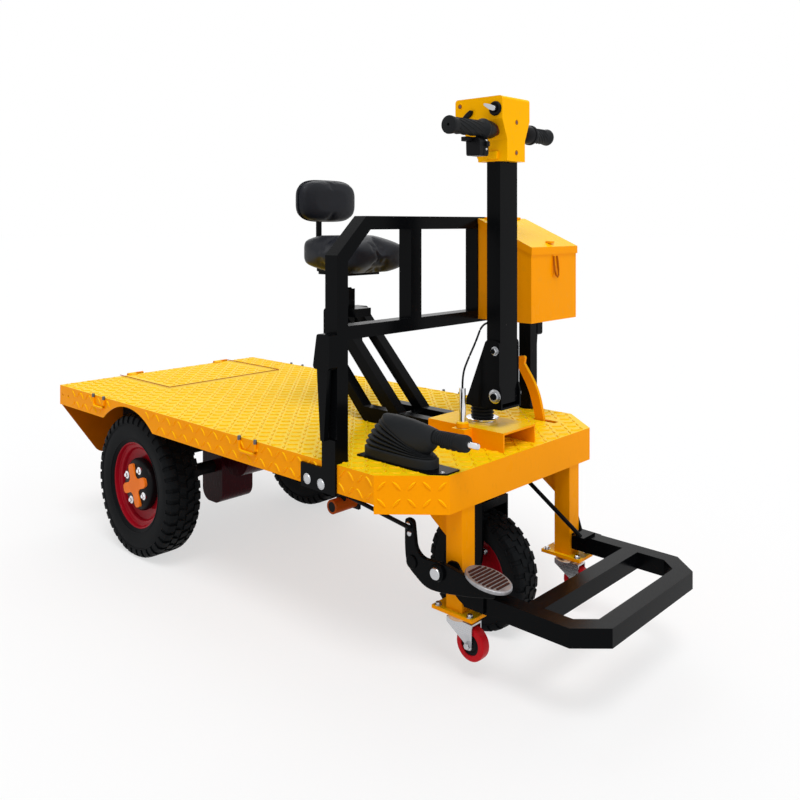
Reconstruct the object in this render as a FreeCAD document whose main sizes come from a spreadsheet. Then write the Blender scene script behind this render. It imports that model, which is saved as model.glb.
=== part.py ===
"""Electric flatbed tricycle: a parametric FreeCAD model, in millimetres.

X points to the steering end, Y to the driver's left and Z up. The origin is on the floor,
under the middle of the machine. Every sub-part is an object of one document whose sizes
come from the spreadsheet "Sizes".
"""
import FreeCAD, Part
import math
import os
import re

import Sketcher

DOC = FreeCAD.newDocument("FlatbedTricycle")
SUBPARTS = []

SIZES = {
    # deck
    "deck_rear_x": -963.5, "deck_length": 1610, "deck_width": 800, "deck_top": 465,
    "sheet_gauge": 4, "side_skirt": 64, "front_skirt": 84, "corner_length": 123,
    "corner_width": 109, "arch_radius": 224, "arch_height": 231,
    "side_hole_inset": 20, "side_hole_spacing": 40, "side_hole_radius": 4.5, "side_hole_height": 434,
    "hatch_length": 320, "hatch_width": 456, "hatch_middle": 49, "hatch_gap": 2,
    "hinge_radius": 6, "hinge_pin": 3, "hinge_width": 30, "hinge_strap": 12,
    "panel_foot": 211, "panel_foot_width": 524, "panel_corner": 45,
    # chassis frame under the deck
    "rail_middle": 225, "rail_width": 40, "rail_height": 50, "rail_front_gap": 155,
    "cross_depth": 40, "hanger_gauge": 8, "hanger_top": 210, "hanger_foot": 84,
    "head_tube_radius": 38, "head_tube_foot": 332,
    # front legs and casters
    "leg_setback": 5, "leg_tube": 45, "leg_middle": 221, "flange_top": 151,
    "flange_gauge": 8, "flange_length": 114, "flange_width": 66, "flange_reach": 35,
    "gusset_reach": 97, "gusset_foot": 291, "gusset_belly": 70, "gusset_rise": 50, "gusset_round": 45,
    "gusset_gauge": 8,
    "caster_wheel_radius": 37.5, "caster_wheel_width": 25, "caster_trail": 35,
    "caster_axle_height": 83.5, "caster_bore": 6, "caster_fork_gauge": 3,
    "caster_ring_radius": 26,
    # pedestal and steering bearing
    "pedestal_rear": 257, "pedestal_front": 22, "pedestal_half": 67, "pedestal_height": 46,
    "pedestal_gauge": 5, "bearing_radius": 34.5, "bearing_height": 8,
    # front frame in front of the seat
    "guard_setback": 239, "guard_depth": 40, "guard_tube": 34, "guard_top": 1026,
    "guard_shoulder": 936, "guard_top_half": 307, "guard_top_rail": 32,
    "guard_low_rail_top": 774, "guard_low_rail": 31, "guard_bar": 39, "guard_bar_middle": 133,
    "guard_plate_gauge": 6, "guard_plate_foot": 395, "guard_plate_step": 451,
    "guard_plate_top": 519, "guard_plate_length": 119, "guard_plate_neck": 45,
    "latch_height": 80, "latch_length": 56, "latch_foot": 679, "latch_depth": 26,
    "latch_lever_foot": 517,
    # toolbox
    "toolbox_depth": 171, "toolbox_inner_side": 118, "toolbox_width": 216,
    "toolbox_foot": 751, "toolbox_front_top": 934, "toolbox_rear_top": 1008,
    "toolbox_gauge": 2, "lid_gap": 1, "lid_lip": 11, "lid_rise": 14,
    "toolbox_pin": 2.5, "toolbox_knuckle": 4,
    # seat
    "seat_side": 47, "seat_tube": 32, "seat_base_height": 40, "seat_top_setback": 104, "seat_base_rear": 510,
    "seat_post_radius": 20, "seat_post_setback": 617, "cushion_length": 223,
    "cushion_width": 260, "cushion_foot": 869, "cushion_setback": 94, "cushion_height": 105, "cushion_round": 38,
    "backrest_thickness": 55, "backrest_setback": 77, "backrest_width": 225, "backrest_foot": 1014,
    "backrest_height": 122, "backrest_round": 24, "seat_plate": 8, "soft_gap": 0.3,
    # footrest
    "footrest_reach": 329, "footrest_top": 208, "footrest_tube": 40, "footrest_corner": 63,
    "footrest_corner_width": 58, "footrest_bar": 142, "side_plate_gauge": 6,
    "side_plate_rise": 30, "side_plate_round": 68,
    "stay_radius": 5.5,
    # brake pedal and its linkage
    "pedal_plane": 270, "pedal_gauge": 12, "pedal_shaft_radius": 13, "pedal_length": 112,
    "pedal_width": 84, "pedal_height": 252, "pedal_pad": 12, "brake_rod_radius": 5,
    "cross_tube_radius": 17, "cross_tube_height": 316, "cross_tube_setback": 366,
    "cross_tube_half": 300,
    # handbrake
    "handbrake_plane": 284, "handbrake_gauge": 4, "handbrake_half": 34,
    "boot_half": 32, "handbrake_grip_radius": 19, "handbrake_button_radius": 7,
    # gear lever and cable
    "shift_plane": 281, "shift_gauge": 10, "conduit_radius": 8, "conduit_side": 80,
    "conduit_top": 606, "cable_radius": 2.5,
    # rear axle
    "rear_axle_inset": 440, "rear_wheel_radius": 214, "rear_track_half": 327,
    "rear_tyre_width": 110, "rear_bead_radius": 127,
    "axle_radius": 20, "stub_radius": 15, "running_gap": 0.1, "rear_hub_radius": 52,
    "hub_cap_radius": 70, "drive_right": 95, "drive_left": 26, "drive_length": 110, "drive_foot": 98,
    "drive_top": 329, "motor_radius": 70,
    "battery_foot": 229, "battery_height": 226, "battery_length": 280,
    "battery_half": 175, "battery_inset": 16, "battery_tray": 4,
    # steering
    "steer_setback": 135, "steer_shaft_radius": 21, "front_wheel_radius": 144,
    "front_tyre_width": 84, "front_rim_radius": 87, "fork_gap": 47, "fork_gauge": 7,
    "fork_width": 80, "fork_crown_foot": 305, "fork_crown": 20, "front_axle_radius": 8,
    "cheek_inner": 36, "cheek_gauge": 5, "bracket_foot": 557, "bracket_top": 724,
    "bracket_front": 88, "column_half": 35.5, "column_depth": 40, "column_setback": 41,
    "column_foot": 569, "head_foot": 1159, "head_top": 1315, "head_half": 57,
    "head_neck_half": 37, "head_rear": 41, "head_front": 103, "head_shoulder": 1264,
    "head_throat": 1211, "bar_height": 1232, "bar_reach": 75, "bar_radius": 11,
    "bar_right": 225, "bar_left": 179, "grip_radius": 19, "grip_flange_radius": 25, "grip_length": 118,
    "switch_block": 50, "switch_drop": 61, "switch_width": 40,
}


class Size:
    """A length that knows its value and the sheet expression that gives it."""

    def __init__(self, value, text):
        self.value = float(value)
        self.text = text

    def __add__(self, other):
        other = size(other)
        return Size(self.value + other.value, f"({self.text} + {other.text})")

    def __sub__(self, other):
        other = size(other)
        return Size(self.value - other.value, f"({self.text} - {other.text})")

    def __mul__(self, other):
        other = size(other)
        return Size(self.value * other.value, f"({self.text} * {other.text})")

    def __truediv__(self, other):
        other = size(other)
        return Size(self.value / other.value, f"({self.text} / {other.text})")

    def __neg__(self):
        return Size(-self.value, f"(0 - {self.text})")

    def __radd__(self, other):
        return size(other) + self

    def __rsub__(self, other):
        return size(other) - self

    def __rmul__(self, other):
        return size(other) * self


def size(number):
    """A Size as it is, or a plain number as a Size."""
    if isinstance(number, Size):
        return number
    return Size(number, f"({number:g})" if number < 0 else f"{number:g}")


def slant(run, rise):
    """The length of a slanted edge from its run and its rise."""
    return Size(math.hypot(run.value, rise.value), f"sqrt({run.text} ^ 2 + {rise.text} ^ 2)")


class Sheet:
    """The spreadsheet, read back as Size values by name."""

    def __init__(self, values):
        cells = DOC.addObject("Spreadsheet::Sheet", "Sizes")
        for row, (name, value) in enumerate(values.items(), 1):
            cells.set(f"A{row}", name)
            cells.set(f"B{row}", str(value))
            cells.setAlias(f"B{row}", name)
        DOC.recompute()
        for name in values:
            setattr(self, name, Size(cells.get(name), f"Sizes.{name}"))


s = Sheet(SIZES)

# Datums that the sub-parts share.
REAR = s.deck_rear_x
FRONT = REAR + s.deck_length
HALF = s.deck_width / 2
UNDER = s.deck_top - s.sheet_gauge
SKIRT_FOOT = s.deck_top - s.side_skirt
STEER = FRONT - s.steer_setback
GUARD = FRONT - s.guard_setback
GUARD_REAR = GUARD - s.guard_depth
LEG_FRONT = FRONT - s.leg_setback
LEG_REAR = LEG_FRONT - s.leg_tube
LEG_OUTER = s.leg_middle + s.leg_tube / 2
LEG_INNER = s.leg_middle - s.leg_tube / 2
AXLE = REAR + s.rear_axle_inset
RAIL_FOOT = UNDER - s.rail_height
RAIL_INNER = s.rail_middle - s.rail_width / 2
RAIL_OUTER = s.rail_middle + s.rail_width / 2
PEDESTAL_TOP = s.deck_top + s.pedestal_height


def bind(item, path, length):
    """Ties one property to the sheet."""
    item.setExpression(path, size(length).text)


def finish(item, label):
    """Names a sub-part and puts it on the list to write."""
    item.Label = label
    SUBPARTS.append(item)
    return item


def box(name, x, y, z):
    """A block from its (low, high) pairs."""
    item = DOC.addObject("Part::Box", name)
    for path, (low, high) in zip(("Length", "Width", "Height"), (x, y, z)):
        bind(item, path, size(high) - low)
    for path, (low, _) in zip("xyz", (x, y, z)):
        bind(item, f"Placement.Base.{path}", low)
    return item


TURNS = {
    "x": FreeCAD.Rotation(FreeCAD.Vector(0, 1, 0), 90),
    "y": FreeCAD.Rotation(FreeCAD.Vector(1, 0, 0), -90),
    "z": FreeCAD.Rotation(),
}


def cylinder(name, axis, at, radius, low, high):
    """A round bar along an axis; at holds its two other coordinates in x, y, z order."""
    item = DOC.addObject("Part::Cylinder", name)
    item.Placement = FreeCAD.Placement(FreeCAD.Vector(), TURNS[axis])
    bind(item, "Radius", radius)
    bind(item, "Height", size(high) - low)
    base = dict(zip([letter for letter in "xyz" if letter != axis], at))
    base[axis] = low
    for letter, value in base.items():
        bind(item, f"Placement.Base.{letter}", value)
    return item


def vector(point):
    """A FreeCAD vector from three Sizes or numbers."""
    return FreeCAD.Vector(*[size(value).value for value in point])


def rod(name, start, end, radius):
    """A round bar between two points in any direction."""
    item = DOC.addObject("Part::Cylinder", name)
    run = vector(end) - vector(start)
    bind(item, "Radius", radius)
    item.Height = run.Length
    item.Placement = FreeCAD.Placement(vector(start), FreeCAD.Rotation(FreeCAD.Vector(0, 0, 1), run))
    return item


def fuse(name, items):
    """Several solids joined into one, as welded."""
    item = DOC.addObject("Part::MultiFuse", name)
    item.Shapes = list(items)
    item.Refine = True
    return item


def cut(name, base, tools):
    """A solid less its tools."""
    item = DOC.addObject("Part::Cut", name)
    item.Base = base
    item.Tool = tools[0] if len(tools) == 1 else fuse(name + "Tools", tools)
    return item


def group(name, items):
    """Like pieces that don't touch, kept as one sub-part."""
    item = DOC.addObject("Part::Compound", name)
    item.Links = list(items)
    return item


# A sketch plane: its origin feature, and which way its normal runs along the model's axes.
PLANES = {"xy": ("XY_Plane", 1), "xz": ("XZ_Plane", -1), "yz": ("YZ_Plane", 1)}


def sketch(body, name, plane, offsets, loops):
    """A closed outline on one of the body's own planes, each corner tied to the sheet."""
    item = body.newObject("Sketcher::SketchObject", name)
    role = PLANES[plane][0]
    origin_plane = next(face for face in body.Origin.OriginFeatures if face.Role == role)
    item.AttachmentSupport = (origin_plane, [""])
    item.MapMode = "FlatFace"
    for letter, value in zip("xyz", offsets):
        bind(item, f"AttachmentOffset.Base.{letter}", value)
    for loop in loops:
        draw_loop(item, [(size(corner[0]), size(corner[1])) for corner in loop])
    return item


def draw_loop(item, corners):
    first = item.GeometryCount
    count = len(corners)
    points = [FreeCAD.Vector(across.value, up.value, 0) for across, up in corners]
    for index in range(count):
        item.addGeometry(Part.LineSegment(points[index], points[(index + 1) % count]))
    for index in range(count):
        following = first + (index + 1) % count
        item.addConstraint(Sketcher.Constraint("Coincident", first + index, 2, following, 1))
    for index, (across, up) in enumerate(corners):
        for kind, length in (("DistanceX", across), ("DistanceY", up)):
            rule = Sketcher.Constraint(kind, -1, 1, first + index, 1, length.value)
            number = item.addConstraint(rule)
            bind(item, f"Constraints[{number}]", length)


def plate(name, plane, low, high, loop, holes=()):
    """A flat piece: an outline padded from low to high along its plane's normal axis.

    A corner may carry a third number, the radius that rounds it.
    """
    body = DOC.addObject("PartDesign::Body", name)
    offset = size(low) if PLANES[plane][1] > 0 else -size(high)
    outline = sketch(body, name + "Outline", plane, (0, 0, offset), [loop, *holes])
    pad = body.newObject("PartDesign::Pad", name + "Pad")
    pad.Profile = outline
    bind(pad, "Length", size(high) - low)
    round_corners(body, name, plane, pad, loop)
    return body


def round_corners(body, name, plane, base, loop):
    """Fillets the corners that carry a radius, one feature for each radius."""
    radii = {}
    for corner in loop:
        if len(corner) == 3:
            radii.setdefault(size(corner[2]).text, []).append(corner)
    for number, corners in enumerate(radii.values()):
        DOC.recompute()
        edges = [edge for corner in corners for edge in corner_edges(base.Shape, plane, corner)]
        rounded = body.newObject("PartDesign::Fillet", f"{name}Round{number}")
        rounded.Base = (base, edges)
        bind(rounded, "Radius", corners[0][2])
        body.Tip = rounded
        base = rounded


def corner_edges(shape, plane, corner):
    """Names of the straight edges that stand on one corner of an outline."""
    names = []
    for number, edge in enumerate(shape.Edges, 1):
        ends = [vertex.Point for vertex in edge.Vertexes]
        if len(ends) != 2:
            continue
        flat = [(getattr(end, plane[0]), getattr(end, plane[1])) for end in ends]
        wanted = (size(corner[0]).value, size(corner[1]).value)
        if all(math.dist(place, wanted) < 0.01 for place in flat):
            names.append(f"Edge{number}")
    return names


def turned(name, plane, offsets, axis, loop):
    """A round piece: an outline turned about its sketch's own axis."""
    body = DOC.addObject("PartDesign::Body", name)
    outline = sketch(body, name + "Outline", plane, offsets, [loop])
    spin = body.newObject("PartDesign::Revolution", name + "Turn")
    spin.Profile = outline
    spin.ReferenceAxis = (outline, [axis])
    spin.Angle = 360
    return body


def wheel_ring(name, x, y, z, loop):
    """A ring about a wheel's own axle, its outline given as (across, radius)."""
    return turned(name, "yz", (y, z, x), "H_Axis", loop)


def post_ring(name, x, y, z, loop):
    """A ring about an upright axis, its outline given as (radius, height)."""
    return turned(name, "xz", (x, z, -size(y)), "V_Axis", loop)


def cord(name, points, radius):
    """A cable along straight runs joined by tangent arcs."""
    spots = [vector(point) for point in points]
    path = []
    start = spots[0]
    for before, spot, after in zip(spots, spots[1:], spots[2:]):
        back, ahead = before - spot, after - spot
        turn = math.pi - back.getAngle(ahead)
        bend = 0.45 * min(back.Length, ahead.Length) / math.tan(turn / 2)
        reach = bend * math.tan(turn / 2)
        first = spot + back.normalize() * reach
        last = spot + ahead.normalize() * reach
        inward = (first + last) * 0.5 - spot
        middle = spot + inward.normalize() * (bend / math.cos(turn / 2) - bend)
        path.append(Part.LineSegment(start, first).toShape())
        path.append(Part.Arc(first, middle, last).toShape())
        print(f"{name}: bend radius {bend:.1f} mm")
        start = last
    path.append(Part.LineSegment(start, spots[-1]).toShape())
    route = Part.Wire(path)
    ring = Part.Circle(spots[0], spots[1] - spots[0], size(radius).value).toShape()
    tube = route.makePipeShell([Part.Wire([ring])], True, True)
    item = DOC.addObject("Part::Feature", name)
    item.Shape = tube
    expected = math.pi * size(radius).value ** 2 * route.Length
    if abs(item.Shape.Volume / expected - 1) > 0.01:
        raise RuntimeError(f"{name} has the wrong volume")
    return item


def both_sides(make):
    """Builds a right and a left copy: make(side name, sign)."""
    return [make("Right", -1), make("Left", 1)]


def span(sign, inner, outer):
    """A (low, high) pair across, on the side that sign gives."""
    return (size(inner), size(outer)) if sign > 0 else (-size(outer), -size(inner))


# ---------------------------------------------------------------- chassis

def corner_shift(run, rise, gauge):
    """How far a corner moves along each side when a chamfered edge is inset."""
    edge = slant(run, rise)
    return gauge * (edge - run) / rise, gauge * (edge - rise) / run


def deck_plate():
    foot = s.deck_top - s.front_skirt
    knee = FRONT - s.corner_length
    nose = HALF - s.corner_width
    shell = plate("DeckShell", "xy", foot, s.deck_top, [
        (REAR, -HALF), (knee, -HALF), (FRONT, -nose),
        (FRONT, nose), (knee, HALF), (REAR, HALF)])
    back, side = corner_shift(s.corner_length, s.corner_width, s.sheet_gauge)
    inner = HALF - s.sheet_gauge
    hollow = plate("DeckHollow", "xy", foot - 1, UNDER, [
        (REAR - 1, -inner), (knee - back, -inner), (FRONT - s.sheet_gauge, side - nose),
        (FRONT - s.sheet_gauge, nose - side), (knee - back, inner), (REAR - 1, inner)])
    trim = box("DeckTrim", (REAR - 1, knee), (-HALF - 1, HALF + 1), (foot - 1, SKIRT_FOOT))
    arches = cylinder("DeckArches", "y", (AXLE, s.arch_height), s.arch_radius, -HALF - 1, HALF + 1)
    hatch_half = s.hatch_width / 2 + s.hatch_gap
    notch = box("HatchNotch", (REAR - 1, REAR + s.hatch_length + s.hatch_gap),
                (s.hatch_middle - hatch_half, s.hatch_middle + hatch_half),
                (UNDER - 1, s.deck_top + 1))
    slot = box("ShiftSlot", (FRONT - 168, FRONT - 96), span(1, s.shift_plane - 11, s.shift_plane + 11),
               (UNDER - 1, s.deck_top + 1))
    shaft = cylinder("DeckShaftHole", "z", (STEER, 0), s.bearing_radius, UNDER - 1, s.deck_top + 1)
    holes = [cylinder(f"SideHole{number}", "y", (REAR + s.side_hole_inset + along, s.side_hole_height),
                      s.side_hole_radius, -HALF - 1, HALF + 1)
             for number, along in enumerate((0, s.side_hole_spacing))]
    tools = [hollow, trim, arches, notch, slot, shaft, *holes]
    finish(cut("DeckPlate", shell, tools), "deck_plate")


HATCH_AXIS_X = REAR - s.hinge_radius
HATCH_HINGES = [s.hatch_middle - s.hatch_width / 2 + 45, s.hatch_middle + s.hatch_width / 2 - 45]


def rear_panel():
    inner = HALF - s.sheet_gauge
    foot = s.panel_foot_width / 2
    sheet = plate("RearSheet", "yz", REAR, REAR + s.sheet_gauge, [
        (-inner, UNDER), (-inner, SKIRT_FOOT), (-foot, s.panel_foot, s.panel_corner),
        (foot, s.panel_foot, s.panel_corner), (inner, SKIRT_FOOT), (inner, UNDER)])
    pieces = [sheet]
    for number, middle in enumerate(HATCH_HINGES):
        low, high = middle - s.hinge_width / 2, middle + s.hinge_width / 2
        pieces.append(cylinder(f"HatchPin{number}", "y", (HATCH_AXIS_X, s.deck_top), s.hinge_pin,
                               low - 1, high + s.hinge_width))
        pieces.append(cylinder(f"HatchLug{number}", "y", (HATCH_AXIS_X, s.deck_top), s.hinge_radius,
                               high + 1, high + s.hinge_width))
        pieces.append(box(f"HatchLeaf{number}", (HATCH_AXIS_X - s.hinge_radius, REAR),
                          (high + 1, high + s.hinge_width), (SKIRT_FOOT, s.deck_top)))
    finish(fuse("RearPanel", pieces), "rear_panel")


def deck_hatch():
    half = s.hatch_width / 2
    pieces = [box("HatchSheet", (REAR + 1, REAR + s.hatch_length),
                  (s.hatch_middle - half, s.hatch_middle + half), (UNDER, s.deck_top))]
    bores = []
    for number, middle in enumerate(HATCH_HINGES):
        low, high = middle - s.hinge_width / 2, middle + s.hinge_width / 2
        pieces.append(cylinder(f"HatchBarrel{number}", "y", (HATCH_AXIS_X, s.deck_top),
                               s.hinge_radius, low, high))
        pieces.append(box(f"HatchStrap{number}", (HATCH_AXIS_X, REAR + s.hinge_strap), (low, high),
                          (s.deck_top, s.deck_top + s.hinge_radius / 2)))
        bores.append(cylinder(f"HatchBore{number}", "y", (HATCH_AXIS_X, s.deck_top),
                              s.hinge_pin + s.running_gap, low - 1, high + 1))
    finish(cut("DeckHatch", fuse("HatchSolid", pieces), bores), "deck_hatch")


CROSS_MEMBERS = [REAR + 330, REAR + 700, REAR + 1000, GUARD - 60, STEER - 75]


def chassis_frame():
    pieces = []
    for name, sign in (("Right", -1), ("Left", 1)):
        pieces.append(box(f"Rail{name}", (REAR + s.sheet_gauge, FRONT - s.rail_front_gap),
                          span(sign, RAIL_INNER, RAIL_OUTER), (RAIL_FOOT, UNDER)))
        low, high = span(sign, s.rail_middle - s.hanger_gauge / 2, s.rail_middle + s.hanger_gauge / 2)
        top, foot = s.hanger_top / 2, s.hanger_foot / 2
        base = s.rear_wheel_radius - foot
        hanger = plate(f"Hanger{name}", "xz", low, high, [
            (AXLE - top, RAIL_FOOT + 1), (AXLE - foot, base, 20),
            (AXLE + foot, base, 20), (AXLE + top, RAIL_FOOT + 1)])
        hole = cylinder(f"HangerHole{name}", "y", (AXLE, s.rear_wheel_radius), s.axle_radius,
                        low - 1, high + 1)
        pieces.append(cut(f"HangerCut{name}", hanger, [hole]))
    for number, x in enumerate(CROSS_MEMBERS):
        pieces.append(box(f"Cross{number}", (x, x + s.cross_depth), (-RAIL_INNER, RAIL_INNER),
                          (RAIL_FOOT, UNDER)))
    pieces.append(cylinder("HeadTube", "z", (STEER, 0), s.head_tube_radius, s.head_tube_foot, UNDER))
    bore = cylinder("HeadTubeBore", "z", (STEER, 0), s.steer_shaft_radius + s.running_gap,
                    s.head_tube_foot - 1, UNDER + 1)
    finish(cut("ChassisFrame", fuse("FrameSolid", pieces), [bore]), "chassis_frame")


def front_leg(name, sign):
    low, high = span(sign, LEG_INNER, LEG_OUTER)
    tube = box(f"LegTube{name}", (LEG_REAR, LEG_FRONT), (low, high), (s.flange_top, UNDER))
    flange_front = LEG_FRONT + s.flange_reach
    flange = box(f"LegFlange{name}", (flange_front - s.flange_length, flange_front),
                 span(sign, s.leg_middle - s.flange_width / 2, s.leg_middle + s.flange_width / 2),
                 (s.flange_top - s.flange_gauge, s.flange_top))
    middle = (low + high) / 2
    web = plate(f"LegGusset{name}", "xz", middle - s.gusset_gauge / 2, middle + s.gusset_gauge / 2, [
        (LEG_REAR - s.gusset_reach, UNDER), (LEG_REAR + 1, UNDER), (LEG_REAR + 1, s.gusset_foot),
        (LEG_REAR - s.gusset_belly, s.gusset_foot + s.gusset_rise, s.gusset_round)])
    return fuse(f"Leg{name}", [tube, flange, web])


def front_legs():
    finish(group("FrontLegs", both_sides(front_leg)), "front_legs")


def pedestal():
    rear, front = FRONT - s.pedestal_rear, FRONT - s.pedestal_front
    outer = box("PedestalOuter", (rear, front), (-s.pedestal_half, s.pedestal_half),
                (s.deck_top, PEDESTAL_TOP))
    inner = s.pedestal_half - s.pedestal_gauge
    hollow = box("PedestalHollow", (rear + s.pedestal_gauge, front + 1), (-inner, inner),
                 (s.deck_top - 1, PEDESTAL_TOP - s.pedestal_gauge))
    bore = cylinder("PedestalBore", "z", (STEER, 0), s.steer_shaft_radius + 3,
                    s.deck_top, PEDESTAL_TOP + 1)
    channel = cut("PedestalChannel", outer, [hollow, bore])
    socket = box("CableSocket", (STEER - 20, STEER + 20),
                 (-s.conduit_side - 18, -s.pedestal_half), (PEDESTAL_TOP - 32, PEDESTAL_TOP - 2))
    finish(fuse("Pedestal", [channel, socket]), "pedestal")


def steering_bearing():
    ring = post_ring("SteeringBearing", STEER, 0, PEDESTAL_TOP, [
        (s.steer_shaft_radius + s.running_gap, 0), (s.bearing_radius, 0, 0),
        (s.bearing_radius, s.bearing_height / 2), (s.bearing_radius - 6, s.bearing_height),
        (s.steer_shaft_radius + s.running_gap, s.bearing_height)])
    finish(ring, "steering_bearing")


def guard_frame():
    outer = [(-HALF, s.deck_top), (-HALF, s.guard_shoulder), (-s.guard_top_half, s.guard_top),
             (s.guard_top_half, s.guard_top), (HALF, s.guard_shoulder), (HALF, s.deck_top)]
    blank = plate("GuardBlank", "yz", GUARD_REAR, GUARD, outer)
    low_top = s.guard_low_rail_top
    low_foot = low_top - s.guard_low_rail
    inner = HALF - s.guard_tube
    run, rise = HALF - s.guard_top_half, s.guard_top - s.guard_shoulder
    along, up = corner_shift(run, rise, s.guard_tube)
    rail_under = s.guard_top - s.guard_top_rail
    bar_out = s.guard_bar_middle + s.guard_bar / 2
    bar_in = s.guard_bar_middle - s.guard_bar / 2
    shoulder = s.guard_shoulder - up
    nose = s.guard_top_half - along
    cuts = [box("GuardLowBay", (GUARD_REAR - 1, GUARD + 1), (-inner, inner), (s.deck_top - 1, low_foot)),
            box("GuardMidBay", (GUARD_REAR - 1, GUARD + 1), (-bar_in, bar_in), (low_top, rail_under))]
    for name, sign in (("Right", -1), ("Left", 1)):
        cuts.append(plate(f"GuardBay{name}", "yz", GUARD_REAR - 1, GUARD + 1, [
            (sign * bar_out, low_top), (sign * inner, low_top), (sign * inner, shoulder),
            (sign * nose, rail_under), (sign * bar_out, rail_under)]))
    pieces = [cut("GuardTubes", blank, cuts)]
    for name, sign in (("Right", -1), ("Left", 1)):
        low, high = span(sign, HALF, HALF + s.guard_plate_gauge)
        step = GUARD - s.guard_plate_neck
        pieces.append(plate(f"GuardPlate{name}", "xz", low, high, [
            (GUARD - s.guard_plate_length, s.guard_plate_foot), (GUARD, s.guard_plate_foot),
            (GUARD, s.guard_plate_top), (step, s.guard_plate_top),
            (step, s.guard_plate_step), (GUARD - s.guard_plate_length, s.guard_plate_step)]))
    finish(fuse("GuardFrame", pieces), "guard_frame")


def guard_latch(name, sign):
    top = s.latch_foot + s.latch_height
    middle = GUARD_REAR + s.latch_length / 4
    low, high = span(sign, HALF, HALF + s.latch_depth)
    case = plate(f"LatchCase{name}", "xz", low, high, [
        (middle - s.latch_length / 2, s.latch_foot, 8), (middle + s.latch_length / 2, s.latch_foot, 8),
        (middle + s.latch_length / 2, top, 8), (middle - s.latch_length / 4, top, 8)])
    blade = plate(f"LatchLever{name}", "xz", low + s.latch_depth / 4, high - s.latch_depth / 4, [
        (middle - 22, s.latch_foot + 12), (middle - 9, s.latch_lever_foot),
        (middle + 3, s.latch_lever_foot), (middle + 16, s.latch_foot + 12)])
    return fuse(f"Latch{name}", [case, blade])


def guard_latches():
    finish(group("GuardLatches", both_sides(guard_latch)), "guard_latches")


TOOLBOX_SIDE = s.toolbox_inner_side
TOOLBOX_FAR = s.toolbox_inner_side + s.toolbox_width
TOOLBOX_FRONT = GUARD + s.toolbox_depth
LID_AXIS_X = GUARD + s.toolbox_knuckle + 1
LID_AXIS_Z = s.toolbox_rear_top + s.lid_rise


def toolbox():
    profile = [(GUARD, s.toolbox_foot), (TOOLBOX_FRONT, s.toolbox_foot),
               (TOOLBOX_FRONT, s.toolbox_front_top), (GUARD, s.toolbox_rear_top)]
    shell = plate("ToolboxShell", "xz", TOOLBOX_SIDE, TOOLBOX_FAR, profile)
    wall = s.toolbox_gauge
    hollow = box("ToolboxHollow", (GUARD + wall, TOOLBOX_FRONT - wall),
                 (TOOLBOX_SIDE + wall, TOOLBOX_FAR - wall),
                 (s.toolbox_foot + wall, s.toolbox_rear_top + 10))
    pieces = [cut("ToolboxTub", shell, [hollow])]
    for number, middle in enumerate(LID_HINGES):
        pieces.append(cylinder(f"LidPin{number}", "y", (LID_AXIS_X, LID_AXIS_Z), s.toolbox_pin,
                               middle - 16, middle + 30))
        pieces.append(cylinder(f"LidLug{number}", "y", (LID_AXIS_X, LID_AXIS_Z), s.toolbox_knuckle,
                               middle + 16, middle + 30))
        pieces.append(box(f"LidLeaf{number}", (GUARD, GUARD + wall), (middle + 16, middle + 30),
                          (s.toolbox_rear_top - 20, LID_AXIS_Z)))
    finish(fuse("Toolbox", pieces), "toolbox")


LID_HINGES = [TOOLBOX_SIDE + 40, TOOLBOX_FAR - 60]


def toolbox_lid():
    fall = s.toolbox_rear_top - s.toolbox_front_top
    over = s.lid_gap + s.toolbox_gauge
    nose = TOOLBOX_FRONT + over
    drop = fall * (s.toolbox_depth + over) / s.toolbox_depth
    rear = GUARD + 1
    high = s.toolbox_rear_top + s.lid_rise
    thick = s.toolbox_gauge
    body = plate("LidBlank", "xz", TOOLBOX_SIDE - over, TOOLBOX_FAR + over, [
        (rear, high), (rear, s.toolbox_rear_top + s.lid_gap), (rear + 12, high - s.lid_rise - s.lid_lip),
        (nose, high - drop - s.lid_rise - s.lid_lip + 5), (nose, high - drop)])
    side_gap = s.lid_gap
    hollow = plate("LidHollow", "xz", TOOLBOX_SIDE - side_gap, TOOLBOX_FAR + side_gap, [
        (rear - 1, high - thick * 2), (rear - 1, s.toolbox_foot),
        (TOOLBOX_FRONT + side_gap, s.toolbox_foot),
        (TOOLBOX_FRONT + side_gap, high - drop - thick * 2 + 1)])
    pieces = [cut("LidTray", body, [hollow])]
    bores = []
    for number, middle in enumerate(LID_HINGES):
        pieces.append(cylinder(f"LidBarrel{number}", "y", (LID_AXIS_X, LID_AXIS_Z),
                               s.toolbox_knuckle, middle - 15, middle + 15))
        bores.append(cylinder(f"LidBore{number}", "y", (LID_AXIS_X, LID_AXIS_Z),
                              s.toolbox_pin + s.running_gap, middle - 17, middle + 15))
        bores.append(cylinder(f"LidRelief{number}", "y", (LID_AXIS_X, LID_AXIS_Z),
                              s.toolbox_knuckle + 1, middle + 15, middle + 31))
        bores.append(box(f"LidLeafRelief{number}", (GUARD, GUARD + s.toolbox_gauge + 1),
                         (middle + 15, middle + 31), (s.toolbox_rear_top - 20, LID_AXIS_Z + 1)))
    finish(cut("ToolboxLid", fuse("LidSolid", pieces), bores), "toolbox_lid")


# ---------------------------------------------------------------- seat

SEAT_X = FRONT - s.seat_post_setback
SEAT_BASE_TOP = s.deck_top + s.seat_base_height
SEAT_DECK_TOP = s.cushion_foot - 104


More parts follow.
